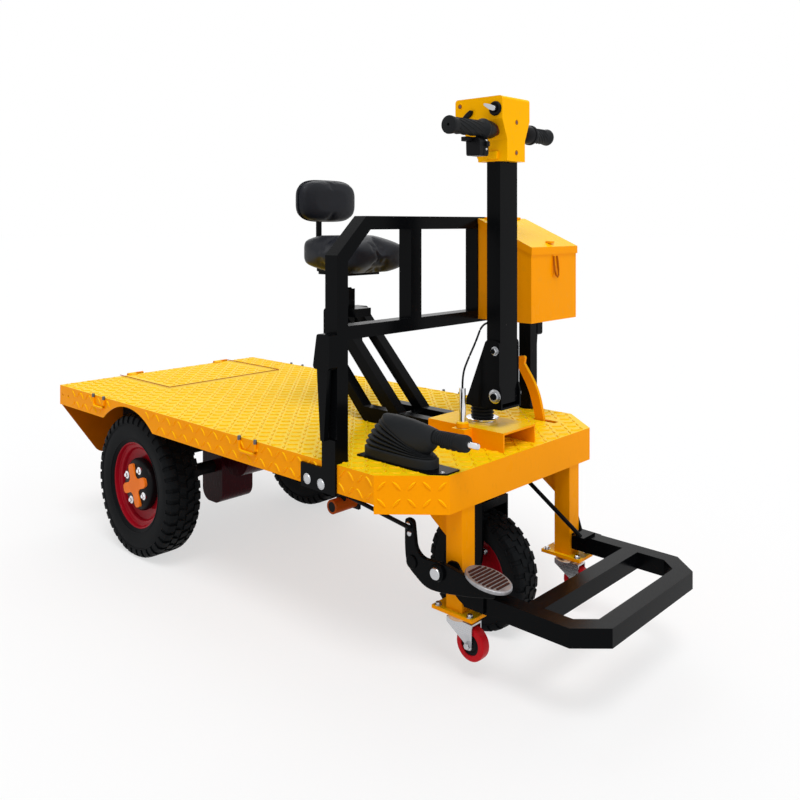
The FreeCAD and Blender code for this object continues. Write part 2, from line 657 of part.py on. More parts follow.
def seat_side(name, sign):
    """One side of the seat's stand: a floor rail, two slanted tubes and a top rail."""
    low, high = span(sign, s.seat_side - s.seat_tube / 2, s.seat_side + s.seat_tube / 2)
    rear = FRONT - s.seat_base_rear
    rail_front = FRONT - s.pedestal_rear
    top = SEAT_DECK_TOP - 24
    rise = top - SEAT_BASE_TOP
    floor = plate(f"SeatRail{name}", "xz", low, high, [
        (rear, s.deck_top + 14), (rear + 14, s.deck_top), (rail_front, s.deck_top),
        (rail_front, SEAT_BASE_TOP), (rear - 26, SEAT_BASE_TOP)])
    tubes = [floor]
    width = s.seat_tube * 1.2
    foot = rear + 112
    tubes.append(plate(f"SeatFrontTube{name}", "xz", low, high, [
        (foot, SEAT_BASE_TOP - 6), (foot + width, SEAT_BASE_TOP - 6),
        (foot + width - rise, top + 2), (foot - rise, top + 2)]))
    foot = rear - 20
    top_rear = foot - rise + s.seat_top_setback
    tubes.append(plate(f"SeatRearTube{name}", "xz", low, high, [
        (foot, SEAT_BASE_TOP - 6), (foot + width, SEAT_BASE_TOP - 6),
        (top_rear + s.seat_tube, top - s.seat_top_setback + width - s.seat_tube),
        (top_rear + s.seat_tube, top + 2), (top_rear, top + 2), (top_rear, top - s.seat_top_setback)]))
    tubes.append(plate(f"SeatTopRail{name}", "xz", low, high, [
        (top_rear, top), (rear + 112 + width - rise, top),
        (rear + 100 + width - rise, SEAT_DECK_TOP, 12), (top_rear, SEAT_DECK_TOP, 12)]))
    return fuse(f"SeatSide{name}", tubes)


def seat_frame():
    rear = FRONT - s.seat_base_rear
    inner = s.seat_side - s.seat_tube / 2
    pieces = both_sides(seat_side)
    for number, x in enumerate((rear + 120, FRONT - s.pedestal_rear - s.seat_tube - 8)):
        pieces.append(box(f"SeatCross{number}", (x, x + s.seat_tube), (-inner, inner),
                          (s.deck_top, SEAT_BASE_TOP - 8)))
    pieces.append(box("SeatTopPlate", (SEAT_X - 66, SEAT_X + 55), (-inner, inner),
                      (SEAT_DECK_TOP - 24, SEAT_DECK_TOP)))
    finish(fuse("SeatFrame", pieces), "seat_frame")


BACKREST_FRONT = SEAT_X - s.backrest_setback
BACKREST_REAR = BACKREST_FRONT - s.backrest_thickness


def seat_bracket():
    under = s.cushion_foot - s.soft_gap
    post = cylinder("SeatPost", "z", (SEAT_X - 42, 0), s.seat_post_radius, SEAT_DECK_TOP,
                    under - s.seat_plate)
    pan = box("SeatPan", (SEAT_X - 70, SEAT_X + 60), (-60, 60), (under - s.seat_plate, under))
    rear = BACKREST_REAR - s.soft_gap
    arm = plate("SeatArm", "xz", -8, 8, [
        (SEAT_X - 60, under - s.seat_plate), (SEAT_X - 60, under),
        (rear, under, 20), (rear, s.backrest_foot + 80),
        (rear - s.seat_plate, s.backrest_foot + 80), (rear - s.seat_plate, under - s.seat_plate, 28)])
    finish(fuse("SeatBracket", [post, pan, arm]), "seat_bracket")


def rounded_block(name, x, y, z, radius):
    """A padded block with every edge rounded."""
    body = DOC.addObject("PartDesign::Body", name)
    low, high = y
    outline = sketch(body, name + "Outline", "xz", (0, 0, -size(high)), [[
        (x[0], z[0]), (x[1], z[0]), (x[1], z[1]), (x[0], z[1])]])
    pad = body.newObject("PartDesign::Pad", name + "Pad")
    pad.Profile = outline
    bind(pad, "Length", size(high) - low)
    DOC.recompute()
    soft = body.newObject("PartDesign::Fillet", name + "Round")
    soft.Base = (pad, [f"Edge{number}" for number in range(1, len(pad.Shape.Edges) + 1)])
    bind(soft, "Radius", radius)
    return body


def seat_cushion():
    half_width = s.cushion_width / 2
    rear = SEAT_X - s.cushion_setback
    block = rounded_block("SeatCushion", (rear, rear + s.cushion_length),
                          (-half_width, half_width),
                          (s.cushion_foot, s.cushion_foot + s.cushion_height), s.cushion_round)
    finish(block, "seat_cushion")


def seat_backrest():
    half = s.backrest_width / 2
    block = rounded_block("SeatBackrest", (BACKREST_REAR, BACKREST_FRONT), (-half, half),
                          (s.backrest_foot, s.backrest_foot + s.backrest_height), s.backrest_round)
    finish(block, "seat_backrest")


# ---------------------------------------------------------------- footrest, brake and controls

FOOTREST_FRONT = FRONT + s.footrest_reach
FOOTREST_FOOT = s.footrest_top - s.footrest_tube


def footrest_frame():
    rear = LEG_FRONT + 4
    knee = FOOTREST_FRONT - s.footrest_corner
    nose = LEG_OUTER - s.footrest_corner_width
    inner = LEG_OUTER - s.footrest_tube
    back, side = corner_shift(s.footrest_corner, s.footrest_corner_width, s.footrest_tube)
    inner_front = FOOTREST_FRONT - s.footrest_tube
    loop = plate("FootrestLoop", "xy", FOOTREST_FOOT, s.footrest_top, [
        (rear, -LEG_OUTER), (knee, -LEG_OUTER), (FOOTREST_FRONT, -nose),
        (FOOTREST_FRONT, nose), (knee, LEG_OUTER), (rear, LEG_OUTER), (rear, inner),
        (knee - back, inner), (inner_front, nose - side), (inner_front, side - nose),
        (knee - back, -inner), (rear, -inner)])
    bar = FRONT + s.footrest_bar
    pieces = [loop, box("FootrestBar", (bar, bar + s.footrest_tube), (-inner, inner),
                        (FOOTREST_FOOT, s.footrest_top))]
    for name, sign in (("Right", -1), ("Left", 1)):
        low, high = span(sign, LEG_OUTER, LEG_OUTER + s.side_plate_gauge)
        over = s.side_plate_rise if sign < 0 else size(0)
        pieces.append(plate(f"FootrestPlate{name}", "xz", low, high, [
            (LEG_REAR + 8, FOOTREST_FOOT + 4, s.side_plate_round), (LEG_REAR + 108, FOOTREST_FOOT + 4),
            (LEG_REAR + 108, s.footrest_top + over / 2 - 1), (LEG_REAR + 52, s.footrest_top + over),
            (LEG_REAR + 34, s.footrest_top + 54, 10), (LEG_REAR + 8, s.footrest_top + 52, 10)]))
    finish(fuse("FootrestFrame", pieces), "footrest_frame")


def footrest_stay():
    foot = (LEG_FRONT + 38, LEG_OUTER - 54, s.footrest_top)
    cross = CROSS_MEMBERS[-1] + s.cross_depth / 2
    head = (cross, LEG_OUTER - 108, RAIL_FOOT - 4)
    bar = rod("StayBar", (foot[0], foot[1], foot[2] + 4), head, s.stay_radius)
    lug = box("StayFoot", (foot[0] - 16, foot[0] + 16), (foot[1] - 12, LEG_OUTER - 10),
              (s.footrest_top, s.footrest_top + 6))
    cap = box("StayHead", (head[0] - 18, head[0] + 18), (head[1] - 14, head[1] + 14),
              (RAIL_FOOT - 6, RAIL_FOOT))
    finish(fuse("FootrestStay", [bar, lug, cap]), "footrest_stay")


PEDAL_PIVOT = (LEG_REAR - 8, s.footrest_top + 23)
PEDAL_ARM_TOP = (LEG_REAR - 82, s.footrest_top + 118)


def brake_pedal():
    low = -s.pedal_plane - s.pedal_gauge / 2
    high = -s.pedal_plane + s.pedal_gauge / 2
    x, z = LEG_REAR, s.footrest_top
    pad_x = LEG_REAR + 134
    pad_foot = s.pedal_height - s.pedal_pad / 2
    arm = plate("PedalArm", "xz", low, high, [
        (x - 94, z + 126, 8), (x - 94, z + 34, 30), (x - 30, z - 8, 20), (x + 4, z - 6, 20),
        (x + 92, z + 18), (pad_x + 16, pad_foot), (pad_x - 30, pad_foot),
        (x + 70, z + 30, 30), (x - 64, z + 40, 12), (x - 70, z + 126, 8)])
    shaft = cylinder("PedalShaft", "y", PEDAL_PIVOT, s.pedal_shaft_radius,
                     -s.pedal_plane - 16, -LEG_OUTER)
    ear = box("PedalEar", (LEG_REAR - 26, LEG_REAR), (-LEG_OUTER, -LEG_OUTER + 10),
              (PEDAL_PIVOT[1] - 18, PEDAL_PIVOT[1] + 18))
    length, width = s.pedal_length / 2, s.pedal_width / 2
    middle = -s.pedal_plane + 20
    pad = plate("PedalPad", "xy", pad_foot, pad_foot + s.pedal_pad, [
        (pad_x - length, middle - width, 40), (pad_x + length, middle - width, 40),
        (pad_x + length, middle + width, 40), (pad_x - length, middle + width, 40)])
    finish(fuse("BrakePedal", [arm, shaft, ear, pad]), "brake_pedal")


CROSS_TUBE_X = FRONT - s.cross_tube_setback


def brake_linkage():
    y = -s.pedal_plane
    arm_top = (CROSS_TUBE_X + 6, y, s.cross_tube_height + 32)
    end = (PEDAL_ARM_TOP[0] + 4, y - s.pedal_gauge / 2 - s.brake_rod_radius - 0.4, PEDAL_ARM_TOP[1] - 6)
    bar = rod("BrakeRodBar", (arm_top[0], y - 6, arm_top[2]), end, s.brake_rod_radius)
    tube = cylinder("BrakeCrossTube", "y", (CROSS_TUBE_X, s.cross_tube_height),
                    s.cross_tube_radius, -s.cross_tube_half, s.cross_tube_half)
    lever = box("BrakeLever", (CROSS_TUBE_X - 12, CROSS_TUBE_X + 14), (y - 4, y + 4),
                (s.cross_tube_height, arm_top[2] + 8))
    pieces = [bar, tube, lever]
    for name, sign in (("Right", -1), ("Left", 1)):
        pieces.append(box(f"BrakeHanger{name}", (CROSS_TUBE_X - 20, CROSS_TUBE_X + 20),
                          span(sign, s.rail_middle - 4, s.rail_middle + 4),
                          (s.cross_tube_height - 20, RAIL_FOOT)))
    finish(fuse("BrakeLinkage", pieces), "brake_linkage")


HANDBRAKE_REAR = FRONT - 260


def handbrake():
    outer = -s.handbrake_plane - s.handbrake_half
    inner = -s.handbrake_plane + s.handbrake_half
    base_top = s.deck_top + s.handbrake_gauge
    base = plate("HandbrakeBase", "xy", s.deck_top, base_top, [
        (HANDBRAKE_REAR, outer), (FRONT - 38, outer), (FRONT - 6, outer + 24),
        (FRONT - 6, inner), (HANDBRAKE_REAR, inner)])
    finish(base, "handbrake_base")
    low, high = -s.handbrake_plane - s.boot_half, -s.handbrake_plane + s.boot_half
    foot = base_top + s.soft_gap
    x = HANDBRAKE_REAR
    boot = plate("HandbrakeBoot", "xz", low, high, [
        (x + 4, foot), (x + 214, foot, 16), (x + 211.5, foot + 76, 8), (x + 200, foot + 94, 12),
        (x + 84, foot + 101, 24), (x + 28, foot + 58, 24)])
    finish(boot, "handbrake_boot")
    grip_z = s.deck_top + 74
    start = x + 212 + s.soft_gap
    radius = s.handbrake_grip_radius
    grip = turned("HandbrakeGrip", "xz", (start, grip_z, s.handbrake_plane), "H_Axis", [
        (0, 0), (0, radius * 0.86), (60, radius * 0.86), (84, radius), (92, radius - 6),
        (92, s.handbrake_button_radius), (120, s.handbrake_button_radius), (120, 0)])
    finish(grip, "handbrake_lever")


def shift_lever():
    low = s.shift_plane - s.shift_gauge / 2
    high = s.shift_plane + s.shift_gauge / 2
    z = s.deck_top
    bar = plate("ShiftLever", "xz", low, high, [
        (FRONT - 160, z - 40), (FRONT - 134, z - 40), (FRONT - 134, z, 200), (FRONT - 154, z + 84, 200),
        (FRONT - 200, z + 150), (FRONT - 196, z + 172, 6), (FRONT - 222, z + 168, 8),
        (FRONT - 224, z + 144, 12), (FRONT - 184, z + 80, 200), (FRONT - 160, z, 200)])
    foot = box("ShiftFoot", (FRONT - 162, FRONT - 126), (RAIL_OUTER, high),
               (RAIL_FOOT + 6, z - 38))
    finish(fuse("ShiftLeverSolid", [bar, foot]), "shift_lever")


def cable_conduit():
    y = -s.conduit_side
    low = PEDESTAL_TOP - 2
    tube = cylinder("ConduitTube", "z", (STEER, y), s.conduit_radius, low, s.conduit_top)
    collar = cylinder("ConduitCollar", "z", (STEER, y), s.conduit_radius + 3, low, low + 12)
    finish(fuse("CableConduit", [tube, collar]), "cable_conduit")


# ---------------------------------------------------------------- rear axle and drive

def rear_axle():
    z = s.rear_wheel_radius
    inner = s.rear_track_half - s.rear_tyre_width / 2

    def half_axle(name, sign):
        side = s.drive_right if sign < 0 else s.drive_left
        tube = cylinder(f"AxleTube{name}", "y", (AXLE, z), s.axle_radius, *span(sign, side, inner))
        stub = cylinder(f"AxleStub{name}", "y", (AXLE, z), s.stub_radius,
                        *span(sign, side, s.rear_track_half + 34))
        return fuse(f"Axle{name}", [tube, stub])

    finish(group("RearAxle", both_sides(half_axle)), "rear_axle")


def drive_unit():
    x0, x1 = AXLE - s.drive_length / 2, AXLE + s.drive_length / 2
    case = plate("DriveCase", "xz", -s.drive_right, s.drive_left, [
        (x0, s.drive_foot, 40), (x1, s.drive_foot, 40), (x1, s.drive_top, 30), (x0, s.drive_top, 30)])
    motor = cylinder("DriveMotor", "y", (x1 + s.motor_radius - 8, s.rear_wheel_radius + 60),
                     s.motor_radius, 6 - s.drive_right, s.drive_left - 6)
    neck = box("DriveNeck", (x1 - 10, x1 + s.motor_radius), (16 - s.drive_right, s.drive_left - 16),
               (s.rear_wheel_radius + 30, s.rear_wheel_radius + 90))
    finish(fuse("DriveUnit", [case, motor, neck]), "drive_unit")


def battery():
    top = s.battery_foot + s.battery_height
    rear = REAR + s.battery_inset
    pack = box("BatteryPack", (rear, rear + s.battery_length), (-s.battery_half, s.battery_half),
               (s.battery_foot, top))
    finish(pack, "battery")
    tray_pieces = [box("TrayFloor", (rear, rear + s.battery_length), (-s.battery_half, s.battery_half),
                       (s.battery_foot - s.battery_tray, s.battery_foot))]
    for name, sign in (("Right", -1), ("Left", 1)):
        low, high = span(sign, s.battery_half + 1, s.battery_half + 1 + s.battery_tray)
        tray_pieces.append(box(f"TrayWall{name}", (rear, rear + s.battery_length), (low, high),
                               (s.battery_foot - s.battery_tray, RAIL_FOOT + 20)))
        tray_pieces.append(box(f"TrayLip{name}", (rear, rear + s.battery_length),
                               span(sign, s.battery_half - 1, s.battery_half + 2),
                               (s.battery_foot - s.battery_tray, s.battery_foot)))
        tray_pieces.append(box(f"TrayHook{name}", (rear, rear + s.battery_length),
                               span(sign, s.battery_half + 1, RAIL_INNER),
                               (RAIL_FOOT + 14, RAIL_FOOT + 20)))
    finish(fuse("BatteryTray", tray_pieces), "battery_tray")


# ---------------------------------------------------------------- wheels

def tyre(name, x, y, z, radius, width, bead, shoulder):
    """A tyre: crown, rounded shoulders and side walls down to the bead."""
    half = width / 2
    return wheel_ring(name, x, y, z, [
        (-half * 0.74, bead), (-half, bead + (radius - bead) * 0.38), (-half, bead + (radius - bead) * 0.7),
        (-half + shoulder * 0.35, radius - shoulder * 0.5), (-half + shoulder, radius),
        (half - shoulder, radius), (half - shoulder * 0.35, radius - shoulder * 0.5),
        (half, bead + (radius - bead) * 0.7), (half, bead + (radius - bead) * 0.38), (half * 0.74, bead)])


def rear_wheel(name, sign):
    z = s.rear_wheel_radius
    y = sign * s.rear_track_half
    rubber = tyre(f"RearTyre{name}", AXLE, y, z, s.rear_wheel_radius, s.rear_tyre_width,
                  s.rear_bead_radius, size(22))
    finish(rubber, f"rear_tyre_{name.lower()}")
    half = s.rear_tyre_width / 2
    out = float(sign)
    bead = s.rear_bead_radius - s.soft_gap
    rim = wheel_ring(f"RearRim{name}", AXLE, y, z, [
        (-out * half * 0.72, bead), (out * half * 0.72, bead), (out * half * 0.72, bead - 7),
        (out * half * 0.5, bead - 12), (out * half * 0.45, bead - 30), (out * half * 0.1, bead - 42),
        (out * half * 0.1, s.rear_hub_radius), (out * half * 0.32, s.rear_hub_radius - 4),
        (out * half * 0.32, s.stub_radius + s.running_gap), (-out * half * 0.95, s.stub_radius + s.running_gap),
        (-out * half * 0.95, s.rear_hub_radius - 10), (-out * half * 0.1, s.rear_hub_radius - 6),
        (-out * half * 0.1, bead - 42), (-out * half * 0.45, bead - 30), (-out * half * 0.72, bead - 8)])
    finish(rim, f"rear_rim_{name.lower()}")
    cap = wheel_ring(f"HubCap{name}", AXLE, y, z, [
        (out * (half * 0.32 + 0.2), s.stub_radius + 3), (out * (half * 0.32 + 0.2), s.rear_hub_radius - 6),
        (out * (half * 0.32 + 12), s.hub_cap_radius), (out * (half * 0.32 + 26), s.hub_cap_radius - 6),
        (out * (half * 0.32 + 32), s.hub_cap_radius - 24), (out * (half * 0.32 + 32), 0),
        (out * (half * 0.32 + 22), 0), (out * (half * 0.32 + 22), s.stub_radius + 3)])
    finish(cap, f"hub_cap_{name.lower()}")


def caster(name, sign):
    x, y = LEG_FRONT - s.leg_tube / 2, sign * s.leg_middle
    top = s.flange_top - s.flange_gauge
    z = s.caster_axle_height
    wheel_x = x + s.caster_trail
    half = s.caster_wheel_width / 2
    inner = half + 2
    outer = inner + s.caster_fork_gauge
    roof = z + s.caster_wheel_radius + 5
    cheeks = []
    for side, direction in (("Near", -1), ("Far", 1)):
        low, high = span(direction, inner, outer)
        cheeks.append(plate(f"Caster{name}{side}", "xz", low + y, high + y, [
            (wheel_x - 10, z - 10, 8), (wheel_x + 10, z - 10, 8), (wheel_x + 10, roof + 4),
            (x - 26, roof + 4), (x - 26, roof - 8), (wheel_x - 10, z + 2)]))
    crown = box(f"CasterCrown{name}", (x - 26, wheel_x + 10), (y - outer, y + outer), (roof, roof + 4))
    race = cylinder(f"CasterRace{name}", "z", (x, y), s.caster_ring_radius, roof + 3, top - 0.5)
    axle = cylinder(f"CasterAxle{name}", "y", (wheel_x, z), s.caster_bore, y - outer - 3, y + outer + 3)
    fork = fuse(f"CasterFork{name}", [*cheeks, crown, race, axle])
    finish(fork, f"caster_fork_{name.lower()}")
    bore = s.caster_bore + s.running_gap
    ring = wheel_ring(f"CasterWheel{name}", wheel_x, y, z, [
        (-half, bore), (-half, s.caster_wheel_radius - 3), (3 - half, s.caster_wheel_radius),
        (half - 3, s.caster_wheel_radius), (half, s.caster_wheel_radius - 3), (half, bore)])
    finish(ring, f"caster_wheel_{name.lower()}")


def front_wheel():
    z = s.front_wheel_radius
    bead = s.front_rim_radius
    rubber = tyre("FrontTyre", STEER, 0, z, s.front_wheel_radius, s.front_tyre_width, bead, size(12))
    finish(rubber, "front_tyre")
    half = s.front_tyre_width / 2
    edge = bead - s.soft_gap
    bore = s.front_axle_radius + s.running_gap
    rim = wheel_ring("FrontRim", STEER, 0, z, [
        (-half * 0.7, edge), (half * 0.7, edge), (half * 0.7, edge - 7), (half * 0.2, edge - 16),
        (half * 0.2, 30), (half * 0.9, 26), (half * 0.9, bore), (-half * 0.9, bore),
        (-half * 0.9, 26), (-half * 0.2, 30), (-half * 0.2, edge - 16), (-half * 0.7, edge - 7)])
    finish(rim, "front_rim")


# ---------------------------------------------------------------- steering

def steering_fork():
    z = s.front_wheel_radius
    half = s.fork_width / 2
    outer = s.fork_gap + s.fork_gauge
    crown_top = s.fork_crown_foot + s.fork_crown
    pieces = []
    for name, sign in (("Right", -1), ("Left", 1)):
        low, high = span(sign, s.fork_gap, outer)
        pieces.append(plate(f"ForkCheek{name}", "xz", low, high, [
            (STEER - half, crown_top), (STEER - half, z + 60), (STEER - 24, z - 24, 20),
            (STEER + 24, z - 24, 20), (STEER + half, z + 60), (STEER + half, crown_top)]))
    pieces.append(box("ForkCrown", (STEER - half, STEER + half), (-outer, outer),
                      (s.fork_crown_foot, crown_top)))
    pieces.append(cylinder("ForkShaft", "z", (STEER, 0), s.steer_shaft_radius, crown_top - 1,
                           s.bracket_foot))
    pieces.append(cylinder("ForkAxle", "y", (STEER, z), s.front_axle_radius, -outer - 12, outer + 12))
    finish(fuse("SteeringFork", pieces), "steering_fork")


def steering_bracket():
    pieces = []
    front = STEER + s.bracket_front
    outer = s.cheek_inner + s.cheek_gauge
    for name, sign in (("Right", -1), ("Left", 1)):
        low, high = span(sign, s.cheek_inner, outer)
        pieces.append(plate(f"Cheek{name}", "xz", low, high, [
            (STEER - 20, s.bracket_foot), (front, s.bracket_foot), (front, s.bracket_foot + 40),
            (STEER + 82, s.bracket_foot + 60), (STEER + 82, s.bracket_top, 12),
            (STEER + 42, s.bracket_top, 12), (STEER - 12, s.bracket_foot + 30),
            (STEER - 20, s.bracket_foot + 14)]))
    pieces.append(box("BracketFloor", (STEER - 20, front), (-outer, outer),
                      (s.bracket_foot, s.bracket_foot + s.cheek_gauge)))
    bolt_x = STEER + s.column_setback + s.column_depth - 11
    for number, (z, radius) in enumerate(((s.bracket_foot + 32, 8), (s.bracket_top - 25, 6))):
        for name, sign in (("Right", -1), ("Left", 1)):
            low, high = span(sign, outer - 1, outer + 10)
            pieces.append(cylinder(f"BracketBolt{name}{number}", "y", (bolt_x, z), radius, low, high))
    finish(fuse("SteeringBracket", pieces), "steering_bracket")


def steering_column():
    rear = STEER + s.column_setback
    tube = box("SteeringColumn", (rear, rear + s.column_depth), (-s.column_half, s.column_half),
               (s.column_foot, s.head_foot))
    finish(tube, "steering_column")


def control_head():
    rear, front = STEER - s.head_rear, STEER + s.head_front
    waist = STEER + 15
    blank = plate("HeadBlank", "xz", -s.head_half, s.head_half, [
        (waist, s.head_foot), (front, s.head_foot), (front, s.head_top, 8), (rear, s.head_top, 8),
        (rear, s.head_shoulder, 10), (waist, s.head_foot + 6, 4)])
    tools = []
    for name, sign in (("Right", -1), ("Left", 1)):
        tools.append(plate(f"HeadSide{name}", "yz", rear - 1, front + 1, [
            (sign * s.head_neck_half, s.head_foot - 1), (sign * (s.head_half + 1), s.head_foot - 1),
            (sign * (s.head_half + 1), s.head_shoulder - 5), (sign * s.head_half, s.head_shoulder - 5),
            (sign * s.head_neck_half, s.head_throat)]))
    bar_x = STEER + s.bar_reach
    tools.append(cylinder("HeadBarHole", "y", (bar_x, s.bar_height), s.bar_radius + 0.05,
                          -s.head_half - 1, s.head_half + 1))
    tools.append(box("HeadSlot", (rear - 1, STEER + s.column_setback), (-8, 8), (s.head_foot - 1, s.head_foot + 40)))
    finish(cut("ControlHead", blank, tools), "control_head")


def handlebar():
    bar_x = STEER + s.bar_reach
    tube = cylinder("Handlebar", "y", (bar_x, s.bar_height), s.bar_radius, 6 - s.bar_right, s.bar_left - 6)
    finish(tube, "handlebar")

    def grip(name, sign):
        end = s.bar_right if sign < 0 else s.bar_left
        length = s.grip_length if sign < 0 else s.grip_length - 24
        bore = s.bar_radius + 0.05
        return wheel_ring(f"Grip{name}", bar_x, 0, s.bar_height, [
            (sign * (end - length), bore), (sign * (end - length), s.grip_flange_radius),
            (sign * (end - length + 6), s.grip_flange_radius),
            (sign * (end - length + 8), s.grip_radius), (sign * (end - 12), s.grip_radius),
            (sign * (end - 8), s.grip_radius + 2), (sign * end, s.grip_radius),
            (sign * end, 0), (sign * (end - 5.9), 0), (sign * (end - 5.9), bore)])

    finish(group("Grips", both_sides(grip)), "grips")


def throttle_block():
    """Switch blocks on the bar between the head and each grip."""
    bar_x = STEER + s.bar_reach
    half = s.switch_block / 2
    right = s.bar_right - s.grip_length - 0.5
    left = s.bar_left - s.grip_length + 23.5
    blocks = []
    for name, sign, root, width, drop in (("Right", -1, right, s.switch_width, s.switch_drop),
                                          ("Left", 1, left, s.switch_width * 0.6, half)):
        low, high = span(sign, root - width, root)
        blank = plate(f"SwitchBlank{name}", "xz", low, high, [
            (bar_x - half, s.bar_height - drop, 6), (bar_x + half - 8, s.bar_height - drop, 6),
            (bar_x + half, s.bar_height + 4, 6), (bar_x + half - 6, s.bar_height + half, 10),
            (bar_x - half + 6, s.bar_height + half, 10), (bar_x - half, s.bar_height, 6)])
        bore = cylinder(f"SwitchBore{name}", "y", (bar_x, s.bar_height), s.bar_radius,
                        low - 1, high + 1)
        blocks.append(cut(f"Switch{name}", blank, [bore]))
    finish(group("SwitchBlocks", blocks), "switch_blocks")


def key_switch():
    side = -s.head_half
    lock = cylinder("KeyLock", "y", (STEER + 84, s.head_top - 29), 9, side - 12, side)
    lever = plate("KeyLever", "xz", side - 8, side, [
        (STEER - 6, s.head_top - 62, 5), (STEER + 10, s.head_top - 62, 5),
        (STEER + 14, s.head_top - 40, 9), (STEER - 6, s.head_top - 36, 9)])
    display = box("Display", (STEER + 20, STEER + 80), (-30, 30), (s.head_top, s.head_top + 5))
    finish(group("KeySwitch", [lock, lever, display]), "key_switch")


def control_cable():
    y = -s.conduit_side
    low = s.conduit_top + s.soft_gap
    end_x = STEER + s.column_setback - s.soft_gap * 2
    cable = cord("ControlCable", [
        (STEER, y, low), (STEER, y, low + 34), (STEER + 8, y + 12, low + 70),
        (STEER + 17, y + 32, low + 112), (STEER + 22, y + 50, low + 154),
        (end_x, y + 50, low + 158)], s.cable_radius)
    finish(cable, "control_cable")


def check():
    """Stops on a feature that failed or a sub-part whose shape isn't sound."""
    failed = [item.Name for item in DOC.Objects if "Invalid" in item.State or "Error" in item.State]
    if failed:
        raise RuntimeError(f"features failed: {failed}")
    for item in SUBPARTS:
        if item.Shape.isNull() or not item.Shape.isValid() or not item.Shape.Solids:
            raise RuntimeError(f"{item.Label} has no sound shape")


def main():
    makers = (deck_plate, rear_panel, deck_hatch, chassis_frame, front_legs, pedestal,
              steering_bearing, guard_frame, guard_latches, toolbox, toolbox_lid, seat_frame,
              seat_bracket, seat_cushion, seat_backrest, footrest_frame, footrest_stay,
              brake_pedal, brake_linkage, handbrake, shift_lever, cable_conduit, rear_axle,
              drive_unit, battery, front_wheel, steering_fork, steering_bracket,
              steering_column, control_head, handlebar, throttle_block, key_switch,
              control_cable)
    for make in makers:
        make()
    both_sides(rear_wheel)
    both_sides(caster)
    DOC.recompute()
    check()
    os.makedirs("parts", exist_ok=True)
    for item in SUBPARTS:
        item.Shape.exportStep(f"parts/{item.Label}.step")
        print(item.Label, len(item.Shape.Solids), round(item.Shape.Volume))


main()
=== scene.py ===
"""Looks of an electric flatbed tricycle: finishes, tread, padding and fittings on its fixed frame.

Laid out as an add-on. Lengths are in metres, and the profiles and outlines of pieces are given
in millimetres. X points to the steering end, Y to the driver's left and Z up.
"""
import math

import bmesh
import bpy
from bpy.props import FloatProperty, FloatVectorProperty, IntProperty, PointerProperty
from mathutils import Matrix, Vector


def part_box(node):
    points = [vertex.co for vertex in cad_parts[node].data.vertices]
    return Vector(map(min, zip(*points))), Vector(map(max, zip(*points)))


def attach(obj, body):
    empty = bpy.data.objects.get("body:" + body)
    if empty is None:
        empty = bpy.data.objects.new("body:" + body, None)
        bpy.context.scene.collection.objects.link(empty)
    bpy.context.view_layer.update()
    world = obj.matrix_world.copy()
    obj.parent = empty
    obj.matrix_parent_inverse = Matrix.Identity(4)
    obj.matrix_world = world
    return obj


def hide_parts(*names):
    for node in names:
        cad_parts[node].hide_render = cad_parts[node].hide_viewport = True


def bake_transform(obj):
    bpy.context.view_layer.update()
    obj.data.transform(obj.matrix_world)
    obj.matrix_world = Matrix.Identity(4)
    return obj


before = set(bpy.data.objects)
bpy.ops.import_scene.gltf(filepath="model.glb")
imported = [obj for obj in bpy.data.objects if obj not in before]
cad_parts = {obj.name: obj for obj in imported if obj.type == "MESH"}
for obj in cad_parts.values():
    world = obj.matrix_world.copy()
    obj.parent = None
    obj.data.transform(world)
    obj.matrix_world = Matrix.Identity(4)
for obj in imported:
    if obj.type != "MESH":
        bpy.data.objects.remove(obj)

bl_info = {
    "name": "Flatbed Tricycle Looks",
    "version": (1, 0, 0),
    "blender": (4, 5, 0),
    "location": "3D View > Sidebar > Tricycle",
    "description": "Finishes, tread, padding and fittings for the flatbed tricycle",
    "category": "Object",
}

MM = 0.001
AXES = {"x": Vector((1, 0, 0)), "y": Vector((0, 1, 0)), "z": Vector((0, 0, 1))}
SIDES = (("right", -1), ("left", 1))
EVEN = (1, 1, 1)                                        # a texture that isn't stretched
WHITE = (1.0, 1.0, 1.0, 1.0)
# Across, up and outward directions of an outline on a face that looks right or forward.
RIGHT_FACE = ((1, 0, 0), (0, 0, 1), (0, -1, 0))
FRONT_FACE = ((0, 1, 0), (0, 0, 1), (1, 0, 0))


# ------------------------------------------------------------------ sizes and colours

class PaintSettings(bpy.types.PropertyGroup):
    """Colours of the painted and moulded surfaces."""
    # The deck's yellow and the orange are lit and shaded copies of one paint: the yellow on top
    # faces is painted light, the orange on the sides painted shade.
    deck: FloatVectorProperty(name="Deck", description="Yellow of the deck plate's top",
                              subtype="COLOR", default=(1.0, 0.67, 0.004))
    orange: FloatVectorProperty(name="Orange", description="Orange of sheet metal sides",
                                subtype="COLOR", default=(0.95, 0.325, 0.0))
    black: FloatVectorProperty(name="Black", description="Gloss black of the frames",
                               subtype="COLOR", default=(0.0022, 0.0025, 0.003))
    crimson: FloatVectorProperty(name="Crimson", description="Red of the wheel rims",
                                 subtype="COLOR", default=(0.30, 0.004, 0.012))
    maroon: FloatVectorProperty(name="Maroon", description="Drive unit's paint",
                                subtype="COLOR", default=(0.045, 0.002, 0.006))
    rubber: FloatVectorProperty(name="Rubber", description="Tyres, boot and grips",
                                subtype="COLOR", default=(0.0045, 0.0052, 0.006))
    vinyl: FloatVectorProperty(name="Vinyl", description="Seat covering",
                               subtype="COLOR", default=(0.0045, 0.0055, 0.009))
    roller: FloatVectorProperty(name="Roller", description="Caster wheels",
                                subtype="COLOR", default=(0.50, 0.006, 0.012))


